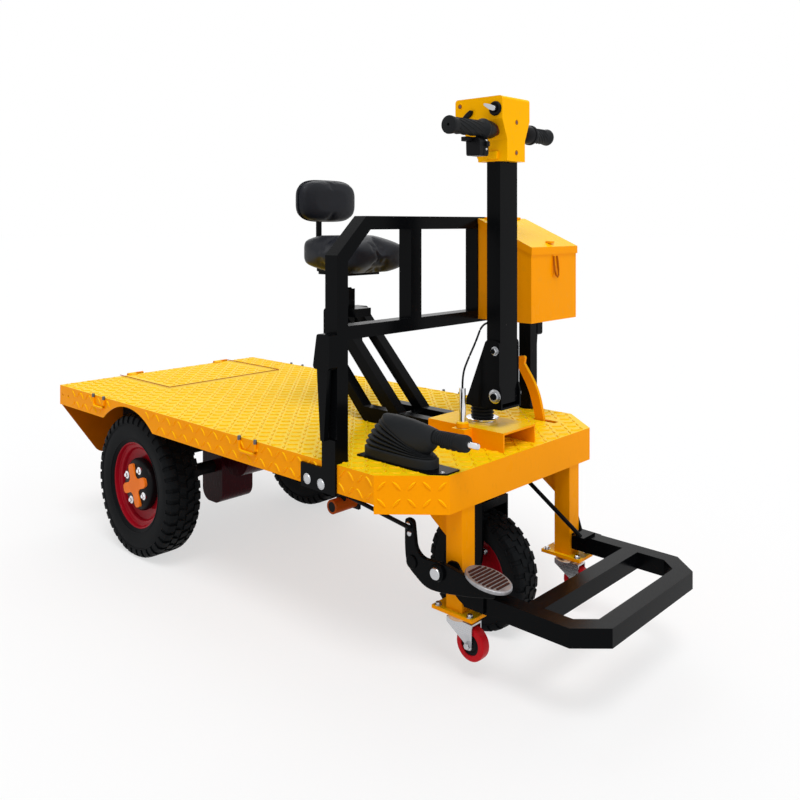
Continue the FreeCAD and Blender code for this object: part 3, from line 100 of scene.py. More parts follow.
class TreadSettings(bpy.types.PropertyGroup):
    """Raised pattern of the deck and the tyres' blocks."""
    pitch: FloatProperty(name="Pitch", description="Distance between the deck's raised bars",
                         unit="LENGTH", default=0.0285)
    length: FloatProperty(name="Bar length", description="Length of a raised bar",
                          unit="LENGTH", default=0.027)
    width: FloatProperty(name="Bar width", description="Width of a raised bar",
                         unit="LENGTH", default=0.0075)
    height: FloatProperty(name="Bar height", description="How far a bar stands up",
                          unit="LENGTH", default=0.0022)
    rear_blocks: IntProperty(name="Rear blocks", description="Blocks round a rear tyre",
                             default=40)
    front_blocks: IntProperty(name="Front blocks", description="Blocks round the front tyre",
                              default=28)


class SoftSettings(bpy.types.PropertyGroup):
    """Padding of the seat and the lever's boot."""
    voxel: FloatProperty(name="Voxel", description="Mesh size of the cloth simulation",
                         unit="LENGTH", default=0.0055)
    swell: FloatProperty(name="Swell", description="Furthest a padded point may move",
                         unit="LENGTH", default=0.012)
    piping: FloatProperty(name="Piping", description="Radius of the seam's piping",
                          unit="LENGTH", default=0.0028)
    folds: IntProperty(name="Folds", description="Bellows folds of the boot", default=5)


class StageSettings(bpy.types.PropertyGroup):
    """Light, floor and camera."""
    key: FloatProperty(name="Key light", description="Strength of the main lamp", default=1.30)
    fill: FloatProperty(name="Fill light", description="Strength of the side lamps", default=0.58)
    sky: FloatProperty(name="Sky", description="Strength of the even light", default=0.50)
    backdrop: FloatProperty(name="Backdrop", description="Level of the pale background",
                            default=1.0)
    lens: FloatProperty(name="Lens", description="Focal length in millimetres", default=37.7)
    shift: FloatProperty(name="Shift", description="Vertical lens shift", default=-0.2208)
    eye: FloatVectorProperty(name="Eye", description="Camera position from the object's origin",
                             subtype="TRANSLATION", default=(1.7969, -1.6823, 1.0085))
    bearing: FloatProperty(name="Bearing", description="Camera bearing round the object",
                           subtype="ANGLE", default=math.radians(43.0))


GROUPS = {"trike_paint": PaintSettings, "trike_tread": TreadSettings,
          "trike_soft": SoftSettings, "trike_stage": StageSettings}


# ------------------------------------------------------------------ shader maths

class Socket:
    """A node's output, on which arithmetic adds Math nodes."""

    def __init__(self, shader, link):
        self.shader = shader
        self.link = link

    def __add__(self, other):
        return self.shader.math("ADD", self, other)

    def __sub__(self, other):
        return self.shader.math("SUBTRACT", self, other)

    def __rsub__(self, other):
        return self.shader.math("SUBTRACT", other, self)

    def __mul__(self, other):
        return self.shader.math("MULTIPLY", self, other)

    __radd__ = __add__
    __rmul__ = __mul__

    def clamped(self):
        return self.shader.node("ShaderNodeClamp", values={"Value": self})


class Shader:
    """One material and its nodes."""

    def __init__(self, name, **constants):
        self.material = bpy.data.materials.new(name)
        self.material.use_nodes = True
        self.nodes = self.material.node_tree.nodes
        self.links = self.material.node_tree.links
        self.surface = self.nodes["Principled BSDF"]
        for socket, value in constants.items():
            self.surface.inputs[socket.replace("_", " ")].default_value = value

    def node(self, kind, settings=None, values=None, output=0):
        """Any node: its settings first, then its sockets' values or links."""
        item = self.nodes.new(kind)
        for key, value in (settings or {}).items():
            if key == "stops":
                self.stops(item.color_ramp, value)
            else:
                setattr(item, key, value)
        for key, value in (values or {}).items():
            if isinstance(value, Socket):
                self.links.new(value.link, item.inputs[key])
            else:
                item.inputs[key].default_value = value
        return Socket(self, item.outputs[output])

    @staticmethod
    def stops(ramp, stops):
        while len(ramp.elements) < len(stops):
            ramp.elements.new(1.0)
        for element, (place, level) in zip(ramp.elements, stops):
            element.position = place
            element.color = (level, level, level, 1.0)

    def math(self, operation, first, second):
        return self.node("ShaderNodeMath", {"operation": operation}, {0: first, 1: second})

    def mix(self, factor, first, second):
        """A colour between two colours."""
        def full(value):
            return value if isinstance(value, Socket) else (*value, 1.0)
        return self.node("ShaderNodeMix", {"data_type": "RGBA"},
                         {0: factor, 6: full(first), 7: full(second)}, output=2)

    def place(self, stretch=EVEN):
        """Object coordinates, stretched along the axes."""
        spot = self.node("ShaderNodeTexCoord", output="Object")
        return self.node("ShaderNodeMapping", values={"Vector": spot, "Scale": stretch})

    def noise(self, scale, detail=3.0, stretch=EVEN, rough=0.55):
        return self.node("ShaderNodeTexNoise", values={
            "Vector": self.place(stretch), "Scale": scale, "Detail": detail, "Roughness": rough})

    def cells(self, scale):
        return self.node("ShaderNodeTexVoronoi", values={
            "Vector": self.place(), "Scale": scale})

    def ramp(self, value, *stops):
        return self.node("ShaderNodeValToRGB", {"stops": stops}, {"Fac": value})

    def facing_up(self):
        """1 on level faces that look up, 0 on upright ones."""
        normal = self.node("ShaderNodeNewGeometry", output="Normal")
        spread = self.nodes.new("ShaderNodeSeparateXYZ")
        self.links.new(normal.link, spread.inputs[0])
        return Socket(self, spread.outputs[2]).clamped()

    def bump(self, height, strength, distance):
        return self.node("ShaderNodeBump", values={
            "Height": height, "Strength": strength, "Distance": distance})

    def finish(self, **sockets):
        """Links what varies to the surface."""
        for name, value in sockets.items():
            self.links.new(value.link, self.surface.inputs[name.replace("_", " ")])
        return self.material


def sheet_paint(name, top, side, rough=0.3):
    """Sprayed sheet metal with stains, scuffs and scratches. Top faces and sides differ: the top's
    lighter colour is painted light, the sides' darker colour painted shade.
    """
    shader = Shader(name, Specular_IOR_Level=0.03)
    broad = shader.noise(3.2, detail=4)
    fine = shader.noise(46.0, detail=5, stretch=(1.0, 2.6, 1.0), rough=0.62)
    # Painted light and shade: faces that look up take the lit top colour, upright faces the shaded
    # side colour.
    painted_light_top = shader.facing_up()
    base = shader.mix(painted_light_top, side, top)
    dark = tuple(channel * 0.62 for channel in side)
    worn = shader.ramp(fine, (0.56, 0.0), (0.72, 1.0)) * 0.16
    stained = shader.ramp(broad, (0.42, 0.0), (0.75, 1.0)) * 0.12
    colour = shader.mix((worn + stained).clamped(), base, dark)
    scratch = shader.noise(14.0, detail=6, stretch=(0.25, 9.0, 3.0), rough=0.7)
    line = shader.ramp(scratch, (0.66, 0.0), (0.70, 1.0)) * 0.12
    colour = shader.mix(line, colour, (0.30, 0.20, 0.10))
    roughness = (rough + worn * 0.6 + line * 0.8 + (broad - 0.5) * 0.18).clamped()
    peel = shader.noise(340.0, detail=2)
    return shader.finish(Base_Color=colour, Roughness=roughness,
                         Normal=shader.bump(peel * 0.5 + fine, strength=0.12, distance=0.0006))


def gloss_paint(name, colour, rough=0.2, coat=0.0, dust=0.012):
    """Thick gloss paint on tube: orange peel, fine scratches and a film of dust on top."""
    shader = Shader(name, Coat_Weight=coat, Coat_Roughness=0.08, Specular_IOR_Level=0.045)
    broad = shader.noise(7.0, detail=4)
    fine = shader.noise(120.0, detail=4, stretch=(1, 1, 0.3), rough=0.6)
    film = shader.facing_up() * dust + shader.ramp(broad, (0.45, 0.0), (0.8, 1.0)) * dust
    pale = tuple(channel * 0.8 + 0.03 for channel in colour)
    tone = shader.mix(film.clamped(), colour, pale)
    chips = shader.ramp(shader.noise(60.0, detail=6, rough=0.75), (0.70, 0.0), (0.73, 1.0))
    tone = shader.mix(chips * 0.5, tone, (0.12, 0.10, 0.09))
    roughness = (rough + (fine - 0.5) * 0.16 + film + chips * 0.3).clamped()
    peel = shader.noise(260.0, detail=2)
    return shader.finish(Base_Color=tone, Roughness=roughness,
                         Normal=shader.bump(peel + fine * 0.4, strength=0.10, distance=0.0005))


def tyre_rubber(name, colour, shine=0.04):
    """Vulcanised rubber with a grey bloom of dust in patches."""
    shader = Shader(name, Specular_IOR_Level=shine)
    broad = shader.noise(9.0, detail=5)
    grain = shader.noise(620.0, detail=3)
    bloom = shader.ramp(broad, (0.40, 0.0), (0.75, 1.0))
    dusty = tuple(channel + 0.005 for channel in colour)
    tone = shader.mix(bloom * 0.7, colour, dusty)
    roughness = (0.50 + bloom * 0.16 + (grain - 0.5) * 0.14).clamped()
    return shader.finish(Base_Color=tone, Roughness=roughness,
                         Normal=shader.bump(grain, strength=0.22, distance=0.0004))


def soft_vinyl(name, colour):
    """Upholstery vinyl: pebbled leather grain, shallow creases and a soft shine."""
    shader = Shader(name, Specular_IOR_Level=0.2)
    pebble = shader.cells(520.0)
    crease = shader.noise(34.0, detail=6, stretch=(1, 1, 2.0), rough=0.68)
    broad = shader.noise(12.0, detail=3)
    tone = shader.mix(shader.ramp(broad, (0.4, 0.0), (0.8, 1.0)) * 0.5, colour,
                      tuple(channel * 2.0 for channel in colour))
    roughness = (0.36 + (crease - 0.5) * 0.22 + pebble * 0.12).clamped()
    height = pebble * 0.6 + crease * 0.9
    return shader.finish(Base_Color=tone, Roughness=roughness,
                         Normal=shader.bump(height, strength=0.28, distance=0.0009))


def plated_metal(name, colour, rough, brushed):
    """Plated or bare steel with faint draw lines and tarnish."""
    shader = Shader(name, Metallic=1.0)
    lines = shader.noise(90.0, detail=5, stretch=(0.15, 1.0, 6.0), rough=0.6)
    tarnish = shader.noise(22.0, detail=5)
    spots = shader.ramp(tarnish, (0.52, 0.0), (0.74, 1.0))
    tone = shader.mix(spots * 0.45, colour, tuple(channel * 0.42 for channel in colour))
    roughness = (rough + (lines - 0.5) * brushed + spots * 0.22).clamped()
    return shader.finish(Base_Color=tone, Roughness=roughness,
                         Normal=shader.bump(lines, strength=0.10, distance=0.0003))


def moulded_plastic(name, colour, rough=0.34):
    """Moulded plastic with a spark-eroded texture and rubbed patches."""
    shader = Shader(name, Specular_IOR_Level=0.09)
    grain = shader.cells(900.0)
    rubbed = shader.ramp(shader.noise(18.0, detail=4), (0.48, 0.0), (0.72, 1.0))
    tone = shader.mix(rubbed * 0.35, colour, tuple(channel * 1.4 + 0.002 for channel in colour))
    roughness = (rough + grain * 0.10 - rubbed * 0.08).clamped()
    return shader.finish(Base_Color=tone, Roughness=roughness,
                         Normal=shader.bump(grain, strength=0.14, distance=0.0003))


def worn_pedal(name):
    """A bare cast pad with polished streaks, dull patches and spots of rust."""
    shader = Shader(name, Metallic=0.85)
    scuff = shader.noise(70.0, detail=6, stretch=(1, 3, 1), rough=0.7)
    rust = shader.ramp(shader.noise(28.0, detail=5), (0.50, 0.0), (0.62, 1.0))
    tone = shader.mix(scuff, (0.16, 0.16, 0.17), (0.48, 0.48, 0.50))
    tone = shader.mix(rust * 0.35, tone, (0.12, 0.035, 0.015))
    return shader.finish(Base_Color=tone, Roughness=(0.32 + scuff * 0.25 + rust * 0.2).clamped(),
                         Normal=shader.bump(scuff, strength=0.3, distance=0.0006))


class Finishes:
    """The materials, each made once and found by name."""
    made = {}

    @classmethod
    def build(cls, paint):
        deck, orange, black = tuple(paint.deck), tuple(paint.orange), tuple(paint.black)
        # A lit top colour for the orange finish, painted light, between the deck's yellow and the
        # orange.
        painted_light_orange_top = tuple(0.8 * a + 0.2 * b for a, b in zip(deck, orange))
        rubber = tuple(paint.rubber)
        # Each sheet paint gives top faces a lit colour and upright faces a shaded one: painted
        # light and shade.
        cls.made = {
            "deck": sheet_paint("deck_paint_coat", deck, orange),
            "bars": sheet_paint("deck_bar_paint", deck, orange, rough=0.24),
            "orange": sheet_paint("orange_coat", painted_light_orange_top, orange, rough=0.26),
            "head": sheet_paint("head_cover_coat", deck, (1.0, 0.46, 0.0), rough=0.24),
            # The rear panel's upright faces take a dark orange-brown, painted shade for the shade
            # that they stand in.
            "panel": sheet_paint("rear_panel_painted_shade_coat", orange, (0.46, 0.11, 0.0), rough=0.34),
            # The cross tube's orange, darkened on top and more on its sides: painted shade for the
            # shade it lies in.
            "painted_shade_tube": sheet_paint("cross_tube_painted_shade_coat", (0.50, 0.11, 0.01), (0.34, 0.06, 0.005),
                                 rough=0.34),
            "black": gloss_paint("black_coat", black),
            "under": gloss_paint("under_frame_coat", (0.008, 0.008, 0.009), rough=0.42, dust=0.05),
            "crimson": gloss_paint("crimson_coat", tuple(paint.crimson), coat=0.08, dust=0.008),
            "maroon": gloss_paint("maroon_coat", tuple(paint.maroon), rough=0.26, coat=0.06,
                                  dust=0.02),
            "collar": gloss_paint("bar_collar_coat", (0.10, 0.003, 0.006), rough=0.3, coat=0.1,
                                  dust=0.0),
            "tyre": tyre_rubber("tyre_compound", rubber),
            # Grips, gaiter, waves and cable take the tyre rubber made lighter, a painted sheen for
            # their highlights; the boot's is lighter still, painted sheen on its folds.
            "rubber": tyre_rubber("moulded_rubber_with_painted_sheen", tuple(c * 1.6 for c in rubber), shine=0.12),
            "boot": tyre_rubber("boot_rubber_with_painted_sheen", tuple(c * 1.9 for c in rubber), shine=0.17),
            "pad_ribs": tyre_rubber("pedal_rib_rubber", (0.045, 0.014, 0.010)),
            "vinyl": soft_vinyl("seat_covering", tuple(paint.vinyl)),
            "chrome": plated_metal("chrome_plate", (0.80, 0.80, 0.82), rough=0.08, brushed=0.10),
            "zinc": plated_metal("zinc_plate_finish", (0.52, 0.53, 0.55), rough=0.26,
                                 brushed=0.24),
            "steel": plated_metal("dark_steel", (0.12, 0.12, 0.125), rough=0.34, brushed=0.3),
            "brass": plated_metal("passivated_steel", (0.62, 0.40, 0.24), rough=0.3, brushed=0.2),
            "plastic": moulded_plastic("black_plastic", (0.005, 0.005, 0.006)),
            "case": moulded_plastic("battery_plastic", (0.012, 0.012, 0.014), rough=0.5),
            "roller": moulded_plastic("red_polyurethane", tuple(paint.roller), rough=0.28),
            "screen": moulded_plastic("display_window", (0.02, 0.03, 0.035), rough=0.12),
            "star": moulded_plastic("cap_star_plastic", (0.80, 0.17, 0.01), rough=0.36),
            # A dark copy of the orange, painted shade for gaps and recesses: the hatch's gap, the
            # head's screw recesses and the catch's wire loop.
            "painted_shade_orange": moulded_plastic("painted_shade_plastic", (0.42, 0.10, 0.0), rough=0.5),
            "pedal": worn_pedal("pedal_casting"),
        }


# The frame's own parts by the finish that they get.
NODE_FINISHES = {
    "deck": ("deck_plate", "deck_hatch"),
    "panel": ("rear_panel",),
    "orange": ("front_legs", "pedestal", "toolbox", "toolbox_lid", "shift_lever"),
    "head": ("control_head",),
    "under": ("chassis_frame", "battery_tray", "brake_linkage", "rear_axle"),
    "chrome": ("steering_bearing", "cable_conduit"),
    "black": ("guard_frame", "guard_latches", "seat_frame", "seat_bracket", "footrest_frame",
              "footrest_stay", "brake_pedal", "handbrake_base", "steering_fork",
              "steering_bracket", "steering_column"),
    "maroon": ("drive_unit",),
    "case": ("battery",),
    "steel": ("handlebar",),
    "plastic": ("switch_blocks", "key_switch"),
    "crimson": ("front_rim",),
    "zinc": ("caster_fork_left", "caster_fork_right"),
}

# ------------------------------------------------------------------ mesh making

def mm(pairs, start=0.0):
    """(step, radius) pairs in millimetres as metres, with the steps counted from a start."""
    return [(start + step * MM, radius * MM) for step, radius in pairs]


def away(origin, *steps):
    """The point that lies steps in millimetres away from another."""
    return Vector([place + step * MM for place, step in zip(origin, steps)])


def spokes(count, turn=0.0):
    """Angles that share a full turn."""
    return [turn + math.tau * index / count for index in range(count)]


class Form:
    """Gathers faces for one piece and makes an object of them."""

    def __init__(self):
        self.mesh = bmesh.new()

    @staticmethod
    def basis(along):
        """Two directions square to a line, and the line's own."""
        along = Vector(AXES[along] if isinstance(along, str) else along).normalized()
        helper = AXES["z"] if abs(along.z) < 0.9 else AXES["x"]
        across = helper.cross(along).normalized()
        return across, along.cross(across), along

    def loops(self, rings, closed=False):
        """Skins rings of points, each closed on itself; the last joins the first or has a cap."""
        rows = [[self.mesh.verts.new(point) for point in ring] for ring in rings]
        pairs = list(zip(rows, rows[1:]))
        if closed:
            pairs.append((rows[-1], rows[0]))
        for low, high in pairs:
            count = len(low)
            for index in range(count):
                after = (index + 1) % count
                self.mesh.faces.new((low[index], low[after], high[after], high[index]))
        if not closed:
            self.mesh.faces.new(tuple(reversed(rows[0])))
            self.mesh.faces.new(tuple(rows[-1]))
        return self

    def lathe(self, profile, centre, along="y", steps=72, closed=True, wave=None):
        """Turns (step, radius) points about a line; wave(angle, radius) scales the radius."""
        across, up, line = self.basis(along)
        centre = Vector(centre)
        rings = []
        for step, radius in profile:
            ring = []
            for angle in spokes(steps):
                reach = radius * (wave(angle, radius) if wave else 1.0)
                spoke = across * math.cos(angle) + up * math.sin(angle)
                ring.append(centre + line * step + spoke * reach)
            rings.append(ring)
        return self.loops(rings, closed=closed)

    def turned(self, profile, centre, along="y", steps=72, wave=None):
        """A lathed piece that is solid to its middle, with flat ends."""
        return self.lathe(profile, centre, along, steps, closed=False, wave=wave)

    def prism(self, outline, centre, depth, axes):
        """Pads a flat outline, given across and up, along the third of its axes."""
        across, up, line = (Vector(axis) for axis in axes)
        centre = Vector(centre)
        low = [centre + across * a + up * b for a, b in outline]
        return self.loops([low, [point + line * depth for point in low]])

    def block(self, low, high, soften=0.0):
        """A box, with its edges bevelled if soften isn't 0."""
        plan = ((low[0], low[1]), (high[0], low[1]), (high[0], high[1]), (low[0], high[1]))
        corners = [Vector((x, y, z)) for z in (low[2], high[2]) for x, y in plan]
        before = set(self.mesh.verts)
        self.loops([corners[:4], corners[4:]])
        if soften:
            fresh = [vert for vert in self.mesh.verts if vert not in before]
            edges = {edge for vert in fresh for edge in vert.link_edges}
            bmesh.ops.bevel(self.mesh, geom=list(edges), offset=soften, segments=2,
                            affect="EDGES", profile=0.6)
        return self

    def slab(self, origin, low, high, soften=0.0):
        """A block whose corners are in millimetres from a point."""
        low, high = ([place + step * MM for place, step in zip(origin, corner)]
                     for corner in (low, high))
        return self.block(low, high, soften * MM)

    @staticmethod
    def circle(point, across, up, radius, sides):
        return [point + (across * math.cos(angle) + up * math.sin(angle)) * radius
                for angle in spokes(sides)]

    def tube(self, points, radius, sides=12):
        """A round bar along points."""
        points = [Vector(point) for point in points]
        rings = []
        for index, point in enumerate(points):
            ahead = points[min(index + 1, len(points) - 1)]
            behind = points[max(index - 1, 0)]
            across, up, _ = self.basis(ahead - behind)
            rings.append(self.circle(point, across, up, radius, sides))
        return self.loops(rings)

    def bolt(self, centre, along, across_flats, height, washer=0.0):
        """A hexagon head with a crowned top, on a washer if its radius is given."""
        centre, along = Vector(centre), Vector(along).normalized()
        seat = height * 0.2
        if washer:
            pinhole = 0.0005
            self.turned([(0, pinhole), (0, washer), (seat, washer), (height * 0.25, pinhole)],
                        centre, along, 28)
        reach = across_flats / math.sqrt(3)
        return self.turned([(seat if washer else 0.0, reach), (height * 0.85, reach),
                            (height, reach * 0.82)], centre, along, 6)

    def dome(self, centre, along, radius, height):
        """A round-headed bolt."""
        rings = 6
        profile = [(0, radius)]
        for index in range(1, rings):
            angle = math.pi / 2 * index / rings
            profile.append((height * math.sin(angle), radius * math.cos(angle)))
        return self.turned(profile, centre, along, 24)

    def piece(self, name):
        """Closes the mesh and links an object of it."""
        bmesh.ops.recalc_face_normals(self.mesh, faces=self.mesh.faces)
        data = bpy.data.meshes.new(name)
        self.mesh.to_mesh(data)
        self.mesh.free()
        piece = bpy.data.objects.new(name, data)
        bpy.context.scene.collection.objects.link(piece)
        return piece

    def object(self, name, finish, body, slot, stands_for=(), smooth=35.0, bevel=0.0,
               segments=2):
        """Makes the piece, with its finish, the body that it rides on and a bevel in mm."""
        piece = settle(self.piece(name), finish, body, stands_for, smooth)
        if bevel:
            tool = piece.modifiers.new("soft_edges", "BEVEL")
            tool.width = bevel * MM
            tool.segments = segments
            tool.limit_method = "ANGLE"
            tool.angle_limit = math.radians(30.0)
        return piece


def coat(piece, finish):
    piece.data.materials.clear()
    piece.data.materials.append(Finishes.made[finish])


def settle(piece, finish, body, stands_for=(), smooth=35.0):
    """Gives a piece its finish, its shading, the body that it rides on, and hides the parts that
    it stands for.
    """
    coat(piece, finish)
    if smooth:
        piece.data.shade_smooth()
        piece.data.set_sharp_from_angle(angle=math.radians(smooth))
    if body:
        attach(piece, body)
    if stands_for:
        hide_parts(*stands_for)
    return piece


def rounded(corners):
    """An outline with its corners softened; each corner is (across, up, reach) in millimetres."""
    steps = 5
    points = []
    for index, (across, up, reach) in enumerate(corners):
        here = Vector((across, up))
        back = Vector(corners[index - 1][:2]) - here
        ahead = Vector(corners[(index + 1) % len(corners)][:2]) - here
        reach = min(reach, back.length * 0.48, ahead.length * 0.48)
        first, last = here + back.normalized() * reach, here + ahead.normalized() * reach
        for step in range(steps + 1):
            share = step / steps
            point = first * (1 - share) ** 2 + here * (2 * share * (1 - share)) + last * share ** 2
            points.append((point.x * MM, point.y * MM))
    return points


def middle(node):
    low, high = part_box(node)
    return (low + high) / 2


def mirrored(profile):
    """A half outline and its mirror image about the plane across the axle."""
    return profile + [(-step, radius) for step, radius in reversed(profile)]


def squircle(angle, power):
    """A point of a rounded square that reaches 1 each way; a higher power is squarer."""
    a, b = math.cos(angle), math.sin(angle)
    size = (abs(a) ** power + abs(b) ** power) ** (1 / power)
    return a / size, b / size


def held(point, low, high, margin=0.0):
    """The point, moved into a box."""
    return Vector([min(max(c, a + margin), b - margin) for c, a, b in zip(point, low, high)])


# ------------------------------------------------------------------ operators

class TRIKE_OT_finishes(bpy.types.Operator):
    """Makes the materials and puts them on the frame's own parts."""
    bl_idname = "trike.finishes"
    bl_label = "Finishes"

    def execute(self, context):
        Finishes.build(context.scene.trike_paint)
        for finish, nodes in NODE_FINISHES.items():
            for node in nodes:
                coat(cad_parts[node], finish)
        return {"FINISHED"}


# A raised bar's lens-shaped foot, as shares of its length and width, and its ridge's share
# of the foot's length and width.
LENS = ((-0.5, 0.0), (-0.28, -0.42), (0.0, -0.5), (0.28, -0.42),
        (0.5, 0.0), (0.28, 0.42), (0.0, 0.5), (-0.28, 0.42))
RIDGE_LONG, RIDGE_WIDE = 0.84, 0.52


def lozenge(form, spot, across, up, out, length, width, height):
    """One raised bar: a lens-shaped foot that narrows to a ridge."""
    foot = [form.mesh.verts.new(spot + across * (a * length) + up * (b * width))
            for a, b in LENS]
    top = [form.mesh.verts.new(spot + out * height + across * (a * length * RIDGE_LONG)
                               + up * (b * width * RIDGE_WIDE)) for a, b in LENS]
    for index in range(len(LENS)):
        after = (index + 1) % len(LENS)
        form.mesh.faces.new((foot[index], foot[after], top[after], top[index]))
    form.mesh.faces.new(top)


def tread_field(form, origin, side, rise, out, width, height, inside, tread):
    """Fills a rectangle with bars that lean left and right in turn."""
    side, rise, out = Vector(side), Vector(rise), Vector(out)
    columns = int(width / tread.pitch)
    rows = int(height / tread.pitch)
    for column in range(columns):
        for row in range(rows):
            a = (column + 0.5) * width / columns
            b = (row + 0.5) * height / rows
            if not inside(a, b):
                continue
            lean = math.radians(45 if (column + row) % 2 else -45)
            across = side * math.cos(lean) + rise * math.sin(lean)
            lozenge(form, Vector(origin) + side * a + rise * b, across, out.cross(across), out,
                    tread.length, tread.width, tread.height)


class TRIKE_OT_deck_tread(bpy.types.Operator):
    """Raises the bar pattern on the deck, its skirts and the hatch."""
    bl_idname = "trike.deck_tread"
    bl_label = "Deck tread"

    CORNER_X, CORNER_Y = 123 * MM, 109 * MM     # how much is cut off a front corner
    SLOT_X, SLOT_Y = 132 * MM, 281 * MM         # the slot, from the front edge and the middle
    SLOT_LONG, SLOT_WIDE = 54 * MM, 26 * MM     # the plain area each way from its centre
    SKIRT, CORNER_SKIRT = 64 * MM, 74 * MM      # heights of pattern on side and corner skirts
    CORNER_FOOT = 6 * MM                        # plain edge under the corner skirts
    SKIRT_START = 74 * MM                       # plain rear end of a side skirt, with its holes
    ARCH, ARCH_DROP = 224 * MM, 234 * MM        # radius kept clear, and its centre's depth
    HINGE_STRIP = 14 * MM                       # plain strip along the hatch's hinge

    def execute(self, context):
        tread = context.scene.trike_tread
        low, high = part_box("deck_plate")
        hatch_low, hatch_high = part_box("deck_hatch")
        arch = middle("rear_tyre_right")
        margin = tread.length * 0.4             # from a bar's centre to a plain edge
        seam = tread.length * 0.62              # and to the hatch's seam

        def on_top(a, b):
            x, y = low.x + a, low.y + b
            if x < hatch_high.x + seam and hatch_low.y - seam < y < hatch_high.y + seam:
                return False
            past = (x - (high.x - self.CORNER_X)) / self.CORNER_X
            if past > 0 and abs(y) > high.y - self.CORNER_Y * past - margin:
                return False
            if (abs(x - (high.x - self.SLOT_X)) < self.SLOT_LONG
                    and abs(y - self.SLOT_Y) < self.SLOT_WIDE):
                return False
            return abs(y) < high.y - margin * 0.6

        def beside_arch(a, b):
            x, z = low.x + a, high.z - self.SKIRT + b
            if a < self.SKIRT_START:
                return False
            reach = math.hypot(x - arch.x, z - high.z + self.ARCH_DROP)
            return reach > self.ARCH + margin * 1.2

        form = Form()
        tread_field(form, (low.x, low.y, high.z), AXES["x"], AXES["y"], AXES["z"],
                    high.x - low.x, high.y - low.y, on_top, tread)
        run = high.x - low.x - self.CORNER_X
        for _, sign in SIDES:
            start = (low.x, sign * high.y, high.z - self.SKIRT)
            tread_field(form, start, AXES["x"], AXES["z"], (0, sign, 0), run, self.SKIRT,
                        beside_arch, tread)
            slope = Vector((self.CORNER_X, -sign * self.CORNER_Y, 0))
            normal = Vector((self.CORNER_Y, sign * self.CORNER_X, 0)).normalized()
            start = (high.x - self.CORNER_X, sign * high.y, low.z + self.CORNER_FOOT)
            tread_field(form, start, slope.normalized(), AXES["z"], normal, slope.length,
                        self.CORNER_SKIRT, lambda a, b: True, tread)
        form.object("deck_tread_bars", "bars", "chassis", "deck_paint")

        size = hatch_high - hatch_low
        run = size.x - self.HINGE_STRIP
        lid = Form()
        tread_field(lid, (hatch_low.x + self.HINGE_STRIP, hatch_low.y, high.z),
                    AXES["x"], AXES["y"], AXES["z"], run, size.y,
                    lambda a, b: margin < a < run - seam and seam < b < size.y - seam, tread)
        lid.object("hatch_tread_bars", "bars", "hatch", "deck_paint")
        self.gap_shade(hatch_low, hatch_high)
        return {"FINISHED"}

    def gap_shade(self, low, high):
        """A thin dark strip in the gap round the hatch: painted shade that stands for the dark
        gap.
        """
        rear, air, gap = 8 * MM, 0.1 * MM, 1.1 * MM
        top, foot = high.z - 1.2 * MM, high.z - 3.8 * MM
        strip = Form()
        strip.block((low.x + rear, low.y - gap, foot), (high.x, low.y - air, top))
        strip.block((low.x + rear, high.y + air, foot), (high.x, high.y + gap, top))
        strip.block((high.x + air, low.y - gap, foot), (high.x + gap, high.y + gap, top))
        strip.object("hatch_gap_shade", "painted_shade_orange", "chassis", "deck_paint", smooth=0)


class TRIKE_OT_tyres(bpy.types.Operator):
    """Makes the three block-tread tyres."""
    bl_idname = "trike.tyres"
    bl_label = "Tyres"

    # Shares of a tyre's half width and of its wall, from the bead to the crown.
    CARCASS = ((0.62, 0.0), (0.80, 0.02), (0.88, 0.07), (0.905, 0.11), (0.945, 0.12),
               (0.955, 0.15), (0.935, 0.165), (0.965, 0.30), (0.985, 0.45), (0.985, 0.56),
               (0.97, 0.65), (1.0, 0.662), (1.0, 0.69), (0.955, 0.705), (0.93, 0.78),
               (0.89, 0.85), (0.80, 0.905), (0.60, 0.925), (0.30, 0.935), (0.0, 0.94))
    SHOULDER = ((0.50, 0.90), (0.50, 1.0), (0.74, 0.992), (0.90, 0.93), (0.985, 0.80),
                (0.99, 0.70), (0.93, 0.70), (0.85, 0.86))
    INNER = ((0.06, 0.92), (0.06, 1.0), (0.43, 1.0), (0.43, 0.92))

    def execute(self, context):
        tread = context.scene.trike_tread
        for side, _ in SIDES:
            self.tyre(f"rear_tyre_tread_{side}", f"rear_tyre_{side}", f"rear_wheel_{side}",
                      tread.rear_blocks, 127 * MM)
        self.tyre("front_tyre_tread", "front_tyre", "front_wheel", tread.front_blocks, 87 * MM)
        return {"FINISHED"}

    def tyre(self, name, node, body, blocks, bead):
        """A pneumatic tyre with moulded side rings and two rows of blocks on each side."""
        low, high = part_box(node)
        centre = (low + high) / 2
        half, radius = (high.y - low.y) / 2, (high.z - low.z) / 2
        wall = radius - bead
        carcass = [(half * 0.985 * a, bead + wall * b) for a, b in self.CARCASS]
        outline = carcass + [(-a, r) for a, r in reversed(carcass[:-1])]
        form = Form()
        form.lathe(outline, centre, "y", 96)
        step = math.tau / blocks
        for index in range(blocks):
            for _, sign in SIDES:
                start = index * step + (0.5 * step if sign > 0 else 0.0)
                for shape, first, last, skew in ((self.SHOULDER, 0.0, 0.62, 0.0),
                                                 (self.INNER, 0.25, 0.85, sign * 1.6)):
                    section = [(sign * half * a, bead + wall * b) for a, b in shape]
                    self.tread_block(form, centre, section, start + step * first,
                                     start + step * last, skew)
        form.object(name, "tyre", body, "tyre_rubber", (node,), 32.0)

    @staticmethod
    def tread_block(form, centre, section, start, end, skew):
        """A block of tread: a section in (across, radius), swept through an angle."""
        def at(across, radius, angle):
            turn = angle + skew * across
            return centre + Vector((radius * math.cos(turn), across, radius * math.sin(turn)))
        form.loops([[at(a, r, angle) for a, r in section] for angle in (start, end)])


